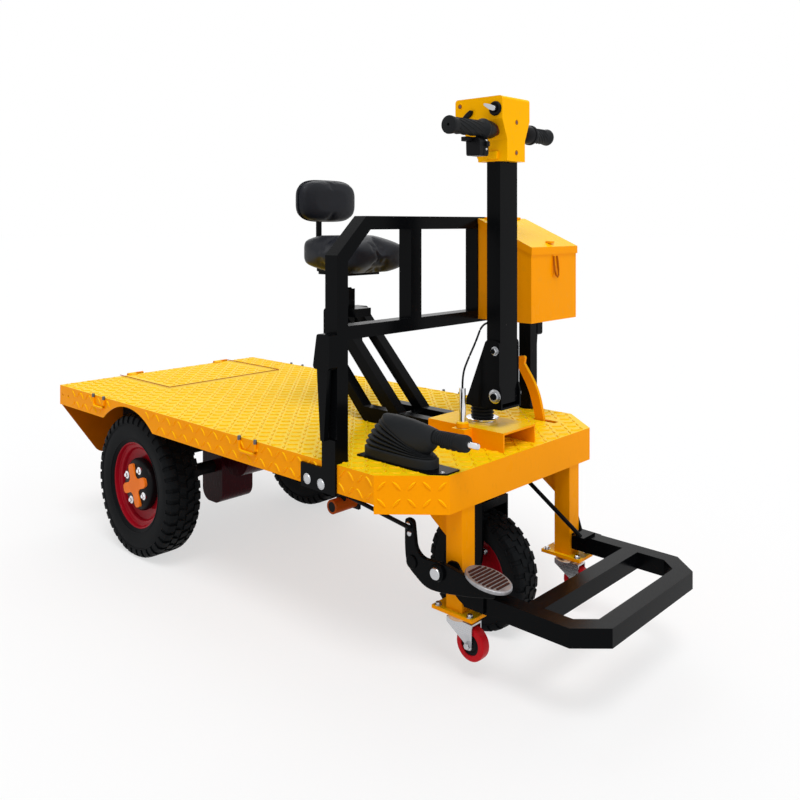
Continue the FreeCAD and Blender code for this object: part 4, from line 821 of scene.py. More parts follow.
def star_outline(arms, reach, waist, half_width, turn):
    """A rounded star of straight arms."""
    arm_sides = ((0.42, -0.95), (0.80, -1.0), (0.96, -0.72), (1.0, -0.3))
    arm_sides += tuple((share, -wide) for share, wide in reversed(arm_sides))
    points = []
    for angle in spokes(arms, turn):
        along = Vector((math.cos(angle), math.sin(angle)))
        side = Vector((-along.y, along.x))
        for share, wide in arm_sides:
            points.append(along * (reach * share) + side * (half_width * wide))
        between = angle + math.pi / arms
        points.append(Vector((math.cos(between), math.sin(between))) * waist)
    return [(point.x, point.y) for point in points]


class TRIKE_OT_rims(bpy.types.Operator):
    """Makes the stepped rims, hub caps and wheel nuts."""
    bl_idname = "trike.rims"
    bl_label = "Rims"

    # Profiles as (step along the axle, radius) in millimetres from the wheel's centre.
    REAR = ((39, 131.5), (41.5, 130.5), (42.5, 128), (41.5, 125.5), (37, 124), (31, 123),
            (28.5, 120.5), (28, 114), (26, 110.5), (17, 106.5), (13, 101), (11.5, 92), (9, 74),
            (8, 50), (8, 20), (3, 20), (3, 52), (4, 76), (6, 94), (6, 104), (-22, 112),
            (-28, 120), (-37, 123), (-41.5, 125.5), (-42.5, 128), (-41, 130.5), (-39, 131.5),
            (-36, 127.2), (36, 127.2))
    DRUM = ((-56, 15.2), (-56, 40), (-12, 48), (4, 48), (4, 15.2))
    CAP = ((9, 66), (13, 75), (26, 77), (33, 75), (39, 69), (43.5, 54), (46, 30), (46.5, 8))
    COLLAR = ((39, 11.5), (45, 11.5), (45.5, 10))
    FRONT = ((29, 89), (31.5, 87.5), (31, 84), (26, 82), (21, 80), (18, 72), (10, 66), (8, 56),
             (9, 40), (16, 30), (34, 27), (38, 22), (38, 8.3))
    ARMS = 4
    TURN = math.radians(20)                     # turn of the cap's star

    def execute(self, context):
        for side, sign in SIDES:
            self.rear(side, sign)
        centre = middle("front_tyre")
        form = Form()
        form.lathe(mm(mirrored(list(self.FRONT))), centre, "y", 72)
        form.object("front_rim_steps", "crimson", "front_wheel", "crimson_paint",
                    ("front_rim",), 30.0)
        nuts = Form()
        for angle in spokes(5):
            for _, sign in SIDES:
                spot = centre + Vector((math.cos(angle), 0, math.sin(angle))) * 48 * MM
                nuts.bolt(spot + Vector((0, sign * 8 * MM, 0)), (0, sign, 0),
                          10 * MM, 7 * MM, 8 * MM)
        nuts.object("front_rim_bolts", "zinc", "front_wheel", "zinc_plate", smooth=30.0)
        return {"FINISHED"}

    def rear(self, side, sign):
        body = f"rear_wheel_{side}"
        centre = middle(f"rear_tyre_{side}")
        out = Vector((0, sign, 0))
        rim = Form().lathe(mm(self.REAR), centre, out, 96)
        rim.object(f"rear_rim_steps_{side}", "crimson", body, "crimson_paint",
                   (f"rear_rim_{side}",), 28.0)
        drum = Form().lathe(mm(self.DRUM), centre, out, 48)
        drum.object(f"rear_brake_drum_{side}", "under", body, "axle_steel")

        def lobes(angle, radius):
            swell = math.cos(self.ARMS * (angle + sign * self.TURN))
            return 1.0 + 0.03 * swell * min(1.0, radius / (60 * MM))

        cap = Form().turned(mm(self.CAP), centre, out, 96, wave=lobes)
        cap.object(f"hub_cap_shell_{side}", "plastic", body, "cap_plastic",
                   (f"hub_cap_{side}",), 50.0)
        outline = star_outline(self.ARMS, 65 * MM, 28 * MM, 16 * MM, self.TURN)
        star = Form().prism(outline, centre + out * 38.0 * MM, 11.5 * MM,
                            (AXES["x"], AXES["z"], out))
        star.object(f"hub_cap_star_{side}", "star", body, "cap_plastic", smooth=30.0, bevel=1.2)
        nuts = Form()
        for index in range(self.ARMS):
            angle = self.TURN + math.tau * (index + 0.5) / self.ARMS
            spoke = AXES["x"] * math.cos(angle) + AXES["z"] * math.sin(angle)
            spot = centre + spoke * 53 * MM
            nuts.turned(mm(self.COLLAR), spot, out, 24)
            nuts.bolt(spot + out * 43.5 * MM, out, 11 * MM, 8 * MM)
        nuts.object(f"wheel_nuts_{side}", "chrome", body, "zinc_plate", smooth=30.0)


class TRIKE_OT_casters(bpy.types.Operator):
    """Makes the two red caster wheels with their hubs and nuts."""
    bl_idname = "trike.casters"
    bl_label = "Casters"

    TREAD = ((12.5, 24), (12.5, 34), (10.5, 37), (6, 37.5), (0, 37.5))
    CORE = ((9, 24.2), (7.5, 18), (12, 12), (12.5, 6.2))
    RACE = ((-13, 20), (-12, 27), (-8, 28.5), (-3, 27), (-0.6, 24), (-0.6, 6))

    def execute(self, context):
        for side, _ in SIDES:
            roller, swivel = f"caster_roller_{side}", f"caster_swivel_{side}"
            centre = middle(f"caster_wheel_{side}")
            fork_low, fork_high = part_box(f"caster_fork_{side}")
            ring = Form().lathe(mm(mirrored(list(self.TREAD))), centre, "y", 64)
            ring.object(f"caster_tread_{side}", "roller", roller, "caster_red",
                        (f"caster_wheel_{side}",), 30.0)
            core = Form().lathe(mm(mirrored(list(self.CORE))), centre, "y", 48)
            core.object(f"caster_core_{side}", "plastic", roller, "caster_red")
            nuts = Form()
            for _, sign in SIDES:
                nuts.bolt(away(centre, 0, sign * 17.5, 0), (0, sign, 0),
                          13 * MM, 8 * MM, 9.5 * MM)
            nuts.object(f"caster_nuts_{side}", "zinc", swivel, "zinc_plate", smooth=30.0)
            race = Form().turned(mm(self.RACE), (fork_low.x + 26 * MM, centre.y, fork_high.z),
                                 "z", 48)
            race.object(f"caster_race_{side}", "brass", swivel, "zinc_plate")
        return {"FINISHED"}


PAD_START = 0.985                               # a pad's share of its room before it swells
PAD_SKIN = 0.2 * MM                             # how far it stays inside that room
PAD_UNDERSIDE = 0.25                            # share of the crown that its underside has
SWELL_FRAMES = 20


def padded_block(name, node, crown, pull, power, lift, tilt, soft):
    """A stuffed form: crowned faces, sides that pull in between the corners.

    lift takes the crown off towards the rear end, and tilt raises that end.
    """
    low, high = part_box(node)
    centre, half = (low + high) / 2, (high - low) / 2
    form = Form()
    bmesh.ops.create_cube(form.mesh, size=2.0)
    bmesh.ops.subdivide_edges(form.mesh, edges=form.mesh.edges[:], cuts=18, use_grid_fill=True)
    for vert in form.mesh.verts:
        x, y, z = vert.co
        size = (abs(x) ** power + abs(y) ** power + abs(z) ** power) ** (1 / power)
        x, y, z = x / size, y / size, z / size
        dome = (1 - x * x) * (1 - y * y)
        drop = crown * (1 - dome) * (1 - lift * max(0.0, -x))
        if z < 0:
            drop *= PAD_UNDERSIDE
        shape = Vector((x * (1 - pull * (1 - y * y)), y * (1 - pull * (1 - x * x)),
                        z * (1 - drop) * (1 - tilt) - tilt * x))
        vert.co = centre + Vector(a * b for a, b in zip(shape, half * PAD_START))
    piece = form.piece(name)
    inflate(piece, soft)
    for vert in piece.data.vertices:
        vert.co = held(vert.co, low, high, PAD_SKIN)
    return piece


def use_only(piece):
    bpy.ops.object.select_all(action="DESELECT")
    piece.select_set(True)
    bpy.context.view_layer.objects.active = piece


def inflate(piece, soft):
    """Remeshes the form, swells it as cloth under pressure and keeps the result."""
    remesh = piece.modifiers.new("even", "REMESH")
    remesh.mode = "VOXEL"
    remesh.voxel_size = soft.voxel
    use_only(piece)
    bpy.ops.object.modifier_apply(modifier=remesh.name)
    rest = [vert.co.copy() for vert in piece.data.vertices]
    cloth = piece.modifiers.new("cloth", "CLOTH")
    cloth.settings.use_pressure = True
    cloth.settings.uniform_pressure_force = 4.0
    cloth.settings.quality = 5
    cloth.settings.tension_stiffness = 12.0
    cloth.settings.effector_weights.gravity = 0.0
    scene = bpy.context.scene
    for number in range(SWELL_FRAMES):
        scene.frame_set(number + 1)
    use_only(piece)
    bpy.ops.object.modifier_apply(modifier=cloth.name)
    scene.frame_set(1)
    for vert, start in zip(piece.data.vertices, rest):
        move = vert.co - start
        if move.length > soft.swell:
            vert.co = start + move.normalized() * soft.swell


class TRIKE_OT_seat(bpy.types.Operator):
    """Makes the padded cushion and backrest, the backrest's seam and the post's fittings."""
    bl_idname = "trike.seat"
    bl_label = "Seat"

    BACKREST_POWER = 3.7                        # how square the backrest's outline is
    # Name, node, crown, pull, power, lift of the rear end and tilt of each pad.
    PADS = (("seat_cushion_pad", "seat_cushion", 0.20, 0.03, 5.2, 0.95, 0.13),
            ("seat_backrest_pad", "seat_backrest", 0.05, 0.02, BACKREST_POWER, 0.0, 0.0))

    def execute(self, context):
        soft = context.scene.trike_soft
        for name, node, *shape in self.PADS:
            piece = padded_block(name, node, *shape, soft)
            subdivide = piece.modifiers.new("smooth", "SUBSURF")
            subdivide.levels = 1
            subdivide.render_levels = 1
            settle(piece, "vinyl", "chassis", (node,), 0)
            piece.data.shade_smooth()
        self.seam(soft.piping * 0.8)
        self.post()
        return {"FINISHED"}

    def post(self):
        """The sleeve round the post's foot, the board under the pad and the lock's lug."""
        low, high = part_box("seat_bracket")
        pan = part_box("seat_cushion")[0].z - 8 * MM
        foot = low.z - pan
        profile = mm([(1, 20.2), (1, 27), (30, 27), (33, 25), (33, 20.2)], foot)
        sleeve = Form().lathe(profile, (high.x - 102 * MM, 0, pan), "z", 48)
        sleeve.object("seat_post_sleeve", "black", "chassis", "black_paint")
        board = Form().slab((high.x, 0, pan), (-126, -72, 8), (4, 72, 24), 4)
        board.object("seat_base_board", "black", "chassis", "black_paint")
        lug = Form().prism(rounded([(-26, -1, 1), (8, -1, 1), (8, 56, 4), (0, 48, 3),
                                    (-8, 58, 3), (-26, 50, 4)]),
                           away((high.x, 0, low.z), -60, 12, 0), 24 * MM, RIGHT_FACE)
        lug.object("seat_lock_lug", "black", "chassis", "black_paint")

    def seam(self, radius):
        """The thin seam round the backrest's edge."""
        low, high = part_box("seat_backrest")
        centre, half = (low + high) / 2, (high - low) / 2
        points = []
        for angle in spokes(96):
            a, b = squircle(angle, self.BACKREST_POWER)
            points.append(centre + Vector((0, half.y * PAD_START * a, half.z * PAD_START * b)))
        rings = []
        for index, point in enumerate(points):
            run = (points[(index + 1) % len(points)] - points[index - 1]).normalized()
            across = run.cross(AXES["x"]).normalized()
            rings.append(Form.circle(point, across, across.cross(run), radius, 8))
        edge = Form().loops(rings, closed=True)
        edge.object("seat_backrest_seam", "vinyl", "chassis", "seat_vinyl")


class TRIKE_OT_boot(bpy.types.Operator):
    """Makes the bellows boot, the ribbed handbrake grip and the base plate's rivet."""
    bl_idname = "trike.boot"
    bl_label = "Handbrake boot"

    # Sections from the foot to the grip: share of the way, then the rear and the front point of
    # the section from the boot's rear foot, and its half width, in millimetres.
    SECTIONS = ((0.00, 0, 0, 210, 0, 32), (0.08, 0, 19, 210, 19, 32),
                (0.12, 3, 21, 207, 21, 30.5), (0.20, 2, 34, 205, 24, 30.5),
                (0.36, 18, 56, 198, 27, 30), (0.50, 34, 75, 189, 29, 29),
                (0.62, 52, 92, 178, 33, 28), (0.68, 56, 99, 180, 31, 28),
                (0.76, 84, 101, 186, 29, 27), (0.86, 140, 98, 198, 35, 24),
                (0.94, 184, 92, 207, 44, 21), (1.00, 210, 87, 210, 52, 17.5))
    FOLDED = (0.12, 0.62)                       # shares of the way where the folds lie
    FOLD_SHARE = 0.17                           # depth of a fold, along the section
    FOLD_WIDE = 0.32                            # and across it

    def section(self, share):
        for before, after in zip(self.SECTIONS, self.SECTIONS[1:]):
            if share <= after[0]:
                part = (share - before[0]) / (after[0] - before[0])
                return [a + (b - a) * part for a, b in zip(before[1:], after[1:])]
        return list(self.SECTIONS[-1][1:])

    def execute(self, context):
        folds = context.scene.trike_soft.folds
        low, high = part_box("handbrake_boot")
        y = (low.y + high.y) / 2
        first, last = self.FOLDED
        rings = []
        steps = folds * 20
        for index in range(steps + 1):
            share = index / steps
            rear_x, rear_z, front_x, front_z, wide = (a * MM for a in self.section(share))
            rear = Vector((low.x + rear_x, y, low.z + rear_z))
            front = Vector((low.x + front_x, y, low.z + front_z))
            fold = 1.0
            if first < share < last:
                fold = abs(math.sin(math.pi * folds * (share - first) / (last - first))) ** 0.6
            reach = 1 - self.FOLD_SHARE + self.FOLD_SHARE * fold
            centre, along = (rear + front) / 2, (front - rear) / 2 * reach
            wide *= 1 - self.FOLD_WIDE + self.FOLD_WIDE * fold
            power = 3.2 - 1.1 * share
            ring = []
            for angle in spokes(64):
                a, b = squircle(angle, power)
                ring.append(held(centre + along * a + AXES["y"] * (wide * b), low, high))
            rings.append(ring)
        piece = Form().loops(rings).object("handbrake_bellows", "boot", "chassis", "boot_rubber",
                                           ("handbrake_boot",), 60.0)
        self.grip()
        return {"FINISHED"}

    def grip(self):
        """The ribbed grip with its finger waves and button, and the rivet beside it."""
        low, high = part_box("handbrake_lever")
        centre = Vector((low.x, (low.y + high.y) / 2, (low.z + high.z) / 2))
        radius = (high.z - low.z) / 2
        profile = [(0, radius * 0.80)]
        for rib in range(9):
            at = (6 + rib * 6.2) * MM
            swell = radius * (0.86 + 0.010 * rib)
            profile += [(at, swell), (at + 3.6 * MM, swell), (at + 4.4 * MM, swell - 1.2 * MM),
                        (at + 5.4 * MM, swell - 1.2 * MM)]
        profile += [(66 * MM, radius * 0.95), (84 * MM, radius * 0.995),
                    (90 * MM, radius * 0.92), (92 * MM, radius * 0.70), (92 * MM, 7.6 * MM)]
        form = Form().turned(profile, centre, "x", 48)
        form.object("handbrake_grip", "rubber", "chassis", "grip_rubber",
                    ("handbrake_lever",), 40.0)
        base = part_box("handbrake_base")[1]
        rivet = Form().dome(away((base.x, centre.y, base.z), -14, -8, 0), AXES["z"],
                            5.5 * MM, 2 * MM)
        rivet.object("base_plate_rivet", "zinc", "chassis", "zinc_plate")
        waves = Form()
        for wave in range(4):
            waves.dome(centre + Vector((22 + 16 * wave, 0, -16)) * MM, (0, 0, -1),
                       8 * MM, 4.5 * MM)
        waves.object("grip_waves", "rubber", "chassis", "grip_rubber")
        button = Form().turned(mm([(88, 7), (116, 7), (119, 6), (120, 4)]), centre, "x", 32)
        button.object("handbrake_button", "chrome", "chassis", "chrome_ring")


class TRIKE_OT_controls(bpy.types.Operator):
    """Dresses the steering head: grips, switch box, key, lever, screws and display."""
    bl_idname = "trike.controls"
    bl_label = "Steering head"

    GRIP_LONG = {"right": 131 * MM, "left": 84 * MM}
    RIBS, RIB_TURN = 11, 0.30                   # ribs on a grip, and how far each winds

    def execute(self, context):
        for side, sign in SIDES:
            self.grip(side, sign)
        low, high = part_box("control_head")
        self.screws(low, high)
        self.switch_box()
        self.key(low, high)
        self.display(low, high)
        return {"FINISHED"}

    def grip(self, side, sign):
        """A grip with winding ribs, and the ring and sleeve at the bar's root."""
        low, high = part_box("grips")
        bar = middle("handlebar")
        axis = Vector((bar.x, 0, bar.z))
        out = (0, sign, 0)
        end = high.y if sign > 0 else -low.y
        length = self.GRIP_LONG[side]
        root = end - length
        profile = mm([(0, 11.2), (0, 24.4), (2, 25.2), (6, 25.2), (8, 23.6), (13, 20.2),
                      (20, 18.8)], root)
        profile += mm([(-30, 18.2), (-18, 19.0), (-9, 20.8), (-3, 21.4), (-0.6, 20.6),
                       (0, 18.8), (0, 3.6), (-5, 3.2)], end)
        form = Form().turned(profile, axis, out, 56)
        across, up, along = Form.basis(out)
        ribs_start, ribs_end, ribs_reach = 20 * MM, 24 * MM, 18.3 * MM
        run = length - (ribs_start + ribs_end)
        steps = 8
        for rib in range(self.RIBS):
            points = []
            for step in range(steps + 1):
                share = step / steps
                turn = math.tau * (rib / self.RIBS + self.RIB_TURN * share)
                spoke = across * math.cos(turn) + up * math.sin(turn)
                points.append(axis + along * (root + ribs_start + run * share)
                              + spoke * ribs_reach)
            form.tube(points, 1.5 * MM, 6)
        head = -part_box("control_head")[0].y
        collar = Form().lathe(mm([(0, 11.2), (0, 17), (5, 17.5), (5, 11.2)], head), axis, out, 40)
        collar.object(f"bar_root_ring_{side}", "collar", "steering", "crimson_paint")
        profile = mm([(5, 11.3), (5, 18), (11, 21)], head)
        profile += mm([(-6, 23), (-1, 23), (-1, 11.3)], root)
        sleeve = Form().lathe(profile, axis, out, 48)
        sleeve.object(f"throttle_sleeve_{side}", "plastic", "steering", "switch_plastic")
        form.object(f"grip_ribs_{side}", "rubber", "steering", "grip_rubber",
                    ("grips",) if sign < 0 else (), 38.0)

    def screws(self, low, high):
        """The head's sunk screws with their rims, and the ledge on its side."""
        rims, shaded_floors, screws = Form(), Form(), Form()
        for origin, steps, along in (((high.x, 0, high.z), (0, 2, -61), AXES["x"]),
                                     ((high.x, 0, low.z), (0, 1, 21), AXES["x"]),
                                     ((low.x, low.y, high.z), (15, 0, -17), (0, -1, 0))):
            spot = away(origin, *steps)
            rims.lathe(mm([(-1, 8.6), (0.5, 8.4), (1.0, 7.6), (0.4, 6.6), (0.1, 6.2),
                           (-1, 6.0)]), spot, along, 32)
            # The recesses' floors take the dark orange of painted shade.
            shaded_floors.turned(mm([(0.0, 6.4), (0.15, 6.4), (0.2, 6.0)]), spot, along, 32)
            screws.turned(mm([(0.1, 3.4), (0.5, 3.2), (0.7, 2.2)]), spot, along, 20)
        rims.object("head_screw_rims", "head", "steering", "orange_paint")
        shaded_floors.object("head_screw_recess_shade", "painted_shade_orange", "steering", "orange_paint")
        screws.object("head_screws", "steel", "steering", "axle_steel")
        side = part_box("steering_column")[0].y - 1.5 * MM
        ledge = Form().slab((high.x, side, low.z), (-60, -8, 5), (-26, 1, 24), 2)
        ledge.object("head_side_ledge", "head", "steering", "orange_paint", smooth=30.0)

    def switch_box(self):
        """The throttle's box under the right-hand bar, with its tab, seams and screws."""
        bar = middle("handlebar")
        spot = (bar.x - 9 * MM, -106 * MM, bar.z)
        box = Form().prism(rounded([(-20, -64, 5), (20, -64, 5), (21, -30, 4), (16, -20, 8),
                                    (-16, -20, 8), (-21, -30, 4)]),
                           away(spot, 0, 18, 0), 36 * MM, RIGHT_FACE)
        box.object("throttle_box", "plastic", "steering", "switch_plastic",
                   ("switch_blocks",), 30.0, bevel=1.6)
        parts = Form()
        parts.slab(spot, (-17, -41, -31), (2, -17, -20), 2)
        parts.slab(spot, (-21.4, -1, -63), (21.4, 0.4, -24), 0.3)
        parts.slab(spot, (19, 2, -42), (27, 14, -30), 1.5)
        parts.object("throttle_box_tab", "plastic", "steering", "switch_plastic", smooth=30.0)
        screws = Form()
        for drop in (28, 48):
            screws.dome(away(spot, 20.4, 9, -drop), AXES["x"], 3.4 * MM, 2 * MM)
        screws.object("throttle_box_screws", "zinc", "steering", "zinc_plate")

    def key(self, low, high):
        """The key in its lock, and the speed lever behind it."""
        lock = (low.x + 124 * MM, low.y, high.z - 31 * MM)
        out = RIGHT_FACE[2]
        bezel = Form().turned(mm([(-1, 17.5), (3, 17.5), (5, 15.5), (5, 12), (3.4, 11), (3.4, 9),
                                  (8, 8.6), (9.5, 6)]), lock, out, 48)
        bezel.object("key_bezel", "plastic", "steering", "switch_plastic", ("key_switch",), 35.0)
        key = Form().prism(rounded([(-7, -6, 5), (8, -6, 3), (27, -1, 2), (31, 3, 2), (26, 6, 2),
                                    (8, 7, 3), (-7, 6, 5)]),
                           away(lock, 0, -8, 0), 4 * MM, ((-0.95, 0, 0.31), (0.31, 0, 0.95), out))
        key.object("starting_key", "zinc", "steering", "zinc_plate", bevel=0.8)
        lever = Form().prism(rounded([(-16, -3, 3), (-2, -7, 6), (12, -6, 5), (19, 0, 5),
                                      (16, 6, 5), (2, 6, 6), (-14, 3, 3)]),
                             away((low.x, low.y, high.z), 42, 0, -42), 10 * MM,
                             ((0.86, 0, 0.51), (-0.51, 0, 0.86), out))
        lever.object("speed_lever", "plastic", "steering", "switch_plastic", bevel=2.4,
                     segments=3)

    def display(self, low, high):
        """The panel on top of the head, its three buttons and its display."""
        rise = (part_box("key_switch")[1].z - high.z) / MM
        corner = (low.x, 0, high.z)
        panel = Form().slab(corner, (61, -30, 0), (121, 30, 3), 1)
        for across in (-18, 0, 18):
            panel.slab(corner, (22, across - 6, 0), (40, across + 6, rise), 1.2)
        panel.object("head_top_panel", "plastic", "steering", "switch_plastic")
        glass = Form().slab(corner, (68, -23, 2.6), (114, 23, 3.6), 0.4)
        glass.object("head_display", "screen", "steering", "switch_plastic")


class TRIKE_OT_fittings(bpy.types.Operator):
    """Adds bolts, the toolbox catch, tie-down rods, the brake arm, the gaiter and the cable."""
    bl_idname = "trike.fittings"
    bl_label = "Fittings"

    def execute(self, context):
        for step in (self.guard_bolts, self.bracket_bolts, self.flange_bolts, self.catch,
                     self.rods, self.pedal, self.gaiter, self.cross_tube, self.socket, self.cable):
            step()
        return {"FINISHED"}

    def guard_bolts(self):
        """Two round heads on washers at each foot of the guard."""
        low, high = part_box("guard_frame")
        form = Form()
        for _, sign in SIDES:
            for back, up in ((47, 18), (95, 21)):
                spot = away((high.x, sign * high.y, low.z), -back, 0, up)
                form.dome(spot, (0, sign, 0), 11 * MM, 6 * MM)
                form.turned(mm([(0, 12.5), (1.2, 12.5), (1.3, 10)]), spot, (0, sign, 0), 28)
        form.object("guard_bolts", "zinc", "chassis", "zinc_plate")

    def bracket_bolts(self):
        low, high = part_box("steering_bracket")
        pin = [(0, 17), (2.5, 17), (3, 16), (3, 11), (6, 11), (7, 10), (7, 5)]
        form = Form()
        for _, sign in SIDES:
            form.turned(mm(pin), away((low.x, 0, low.z), 90, sign * 41, 32), (0, sign, 0), 36)
            form.bolt(away((low.x, 0, high.z), 90, sign * 41, -25), (0, sign, 0),
                      15 * MM, 9 * MM, 11 * MM)
        form.object("bracket_bolts", "zinc", "steering", "zinc_plate", smooth=30.0)

    def flange_bolts(self):
        """Four bolts on the flange of each front leg."""
        low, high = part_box("front_legs")
        form = Form()
        for _, sign in SIDES:
            for back in (12, 102):
                for aside in (-24, 24):
                    spot = away((high.x, sign * 221 * MM, low.z), -back, aside, 8)
                    form.bolt(spot, AXES["z"], 11 * MM, 7 * MM, 8.5 * MM)
        form.object("flange_bolts", "zinc", "chassis", "zinc_plate", smooth=30.0)

    def catch(self):
        """The toolbox's catch and its wire loop, and the tab on the lid."""
        low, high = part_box("toolbox")
        lid_low, lid_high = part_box("toolbox_lid")
        y = (low.y + high.y) / 2
        top = (high.x, y, low.z + 179 * MM)
        loop = ((3, -8, -8), (5, -9, -22), (7, -9, -44), (9, -6, -58), (10, 0, -63),
                (9, 6, -58), (7, 9, -44), (5, 9, -22), (3, 8, -8))
        # The wire loop takes the dark orange of painted shade.
        ring = Form().tube([away(top, *steps) for steps in loop], 2.6 * MM, 10)
        ring.object("toolbox_catch_loop", "painted_shade_orange", "chassis", "orange_paint", smooth=40.0)
        form = Form().prism(rounded([(-11, -64, 6), (11, -64, 6), (12, -30, 4), (11, 0, 3),
                                     (-11, 0, 3), (-12, -30, 4)]), top, 1.6 * MM, FRONT_FACE)
        form.dome(away(top, 1.5, 0, -34), AXES["x"], 5 * MM, 3 * MM)
        form.dome(away(top, 1.5, 0, -8), AXES["x"], 3.5 * MM, 2 * MM)
        form.object("toolbox_catch", "orange", "chassis", "orange_paint")
        spot = away((lid_high.x, y, lid_low.z), -16, 0, 31)
        tab = Form().block(spot + Vector((-9, -10, -3)) * MM, spot + Vector((7, 10, 4)) * MM,
                           1.6 * MM)
        tab.object("toolbox_lid_tab", "orange", "lid", "orange_paint")

    def rods(self):
        """The tie-down rods under the deck's side edges, two on each side."""
        low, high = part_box("deck_plate")
        half = ((-33, -4), (-33, -24), (-31.5, -29), (-28, -32.5), (-23, -34))
        hoop = half + tuple((-a, b) for a, b in reversed(half))
        pins, loops = Form(), Form()
        for _, sign in SIDES:
            for along in (273, 1042):
                rod = (low.x + along * MM, sign * high.y + sign * 3.6 * MM, high.z)
                loops.tube([away(rod, a, 0, b) for a, b in hoop], 4.2 * MM)
                for aside in (-33, 33):
                    pins.turned(mm([(0, 4.6), (9, 4.6), (11, 3.4)]), away(rod, aside, 0, -6),
                                "z", 20)
        pins.object("tie_down_pins", "steel", "chassis", "axle_steel")
        loops.object("tie_down_rods", "orange", "chassis", "orange_paint", smooth=45.0)

    def pedal(self):
        """The cranked brake arm, its pivot and the oval pad that leans forward."""
        leg_low, leg_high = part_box("front_legs")
        x, z = leg_high.x - 80 * MM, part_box("brake_pedal")[1].z - 126 * MM
        plane = -270 * MM                       # the arm's middle, across the machine
        out = RIGHT_FACE[2]
        arm = Form().prism(rounded([(-96, 130, 10), (-97, 66, 20), (-92, 22, 34), (-34, -14, 30),
                                    (10, -12, 26), (96, 4, 16), (158, 20, 6), (156, 32, 6),
                                    (70, 46, 20), (20, 54, 20), (-44, 50, 20), (-64, 66, 24),
                                    (-72, 128, 10)]),
                           (x, plane + 6 * MM, z), 12 * MM, RIGHT_FACE)
        arm.object("brake_arm", "black", "chassis", "black_paint", ("brake_pedal",), 32.0,
                   bevel=1.6)
        pivot = (x + 4 * MM, 0, z + 32 * MM)
        boss = Form()
        boss.turned(mm([(-10, 19), (12, 19), (14, 17)], -plane), pivot, out, 44)
        boss.turned([(-leg_low.y, 13 * MM), (-plane, 13 * MM)], pivot, out, 36)
        boss.turned(mm([(-8, 15), (9, 15), (10, 13.5)], -plane),
                    (x - 74 * MM, 0, z + 34 * MM), out, 36)
        boss.object("brake_arm_boss", "black", "chassis", "black_paint", smooth=32.0)
        caps = Form()
        caps.turned(mm([(12, 13.5), (18, 13.5), (20, 12), (20, 3)], -plane), pivot, out, 44)
        for across, up in ((-86, 116), (-82, 96)):
            caps.dome(away((x, plane, z), across, -6, up), out, 6.5 * MM, 4 * MM)
        caps.object("pedal_shaft_cap", "zinc", "chassis", "zinc_plate")
        self.pad(Vector((x + 122 * MM, -250 * MM, z + 42 * MM)))

    def pad(self, spot):
        """The oval pad and its ribs."""
        lean = math.radians(11)
        across = Vector((math.cos(lean), 0, -math.sin(lean)))
        rise = Vector((math.sin(lean), 0, math.cos(lean)))
        axes = (across, AXES["y"], rise)
        long, wide = 56 * MM, 42 * MM
        oval = [(long * math.cos(angle), wide * math.sin(angle)) for angle in spokes(56)]
        base = Form().prism(oval, spot - rise * 5 * MM, 9 * MM, axes)
        base.object("pedal_pad", "pedal", "chassis", "zinc_plate", smooth=30.0, bevel=3,
                    segments=3)
        ribs = Form()
        rib_wide = 5.2 * MM
        for rib in range(-4, 5):
            at = rib * 9.5 * MM
            reach = 35 * MM * math.sqrt(max(0.05, 1 - (at / (48 * MM)) ** 2))
            low = spot + rise * 3.4 * MM + across * (at - 2.6 * MM) - AXES["y"] * reach
            ribs.prism([(0, 0), (rib_wide, 0), (rib_wide, 2 * reach), (0, 2 * reach)],
                       low, 2.6 * MM, axes)
        ribs.object("pedal_pad_ribs", "pad_ribs", "chassis", "boot_rubber", smooth=30.0,
                    bevel=0.8)

    def gaiter(self):
        """The washer and ribbed gaiter between the bearing and the bracket."""
        top = middle("steering_bearing")
        top.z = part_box("steering_bearing")[1].z
        washer = Form().lathe(mm([(0.5, 21.2), (0.5, 41), (3, 41), (4, 39.5), (4, 21.2)]),
                              top, "z", 56)
        washer.object("bearing_washer", "chrome", "steering", "chrome_ring")
        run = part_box("steering_bracket")[0].z - 0.5 * MM - top.z - 4 * MM
        folds = 4
        profile = mm([(4.2, 21.2)])
        for fold in range(folds):
            base = 4.2 * MM + run * fold / folds
            profile += [(base, 25.5 * MM), (base + run * 0.08, 29 * MM),
                        (base + run * 0.14, 29 * MM), (base + run * 0.23, 25 * MM)]
        profile += mm([(3.6, 25.5), (3.6, 21.2)], run)
        ribs = Form().lathe(profile, top, "z", 56)
        ribs.object("steering_gaiter", "rubber", "steering", "boot_rubber", smooth=30.0)

    def cross_tube(self):
        """The painted sleeve of the brake's cross tube, open at its ends."""
        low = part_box("brake_linkage")[0]
        profile = mm([(-0.5, 12.5), (-0.5, 17.2), (0, 17.6)], low.y)
        profile += mm([(0, 17.6), (0.5, 17.2), (0.5, 12.5)], -low.y)
        form = Form().lathe(profile, away((low.x, 0, low.z), 20, 0, 20), "y", 44)
        # The sleeve takes the orange darkened as painted shade.
        form.object("cross_tube_sleeve", "painted_shade_tube", "chassis", "frame_paint")

    def socket(self):
        """The round socket that the conduit stands in."""
        foot = middle("cable_conduit")
        foot.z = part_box("cable_conduit")[0].z
        form = Form().lathe(mm([(2, 8.1), (2, 16), (12, 15.5), (15, 13), (15, 8.1)]), foot, "z",
                            40)
        form.object("conduit_socket", "orange", "chassis", "orange_paint")

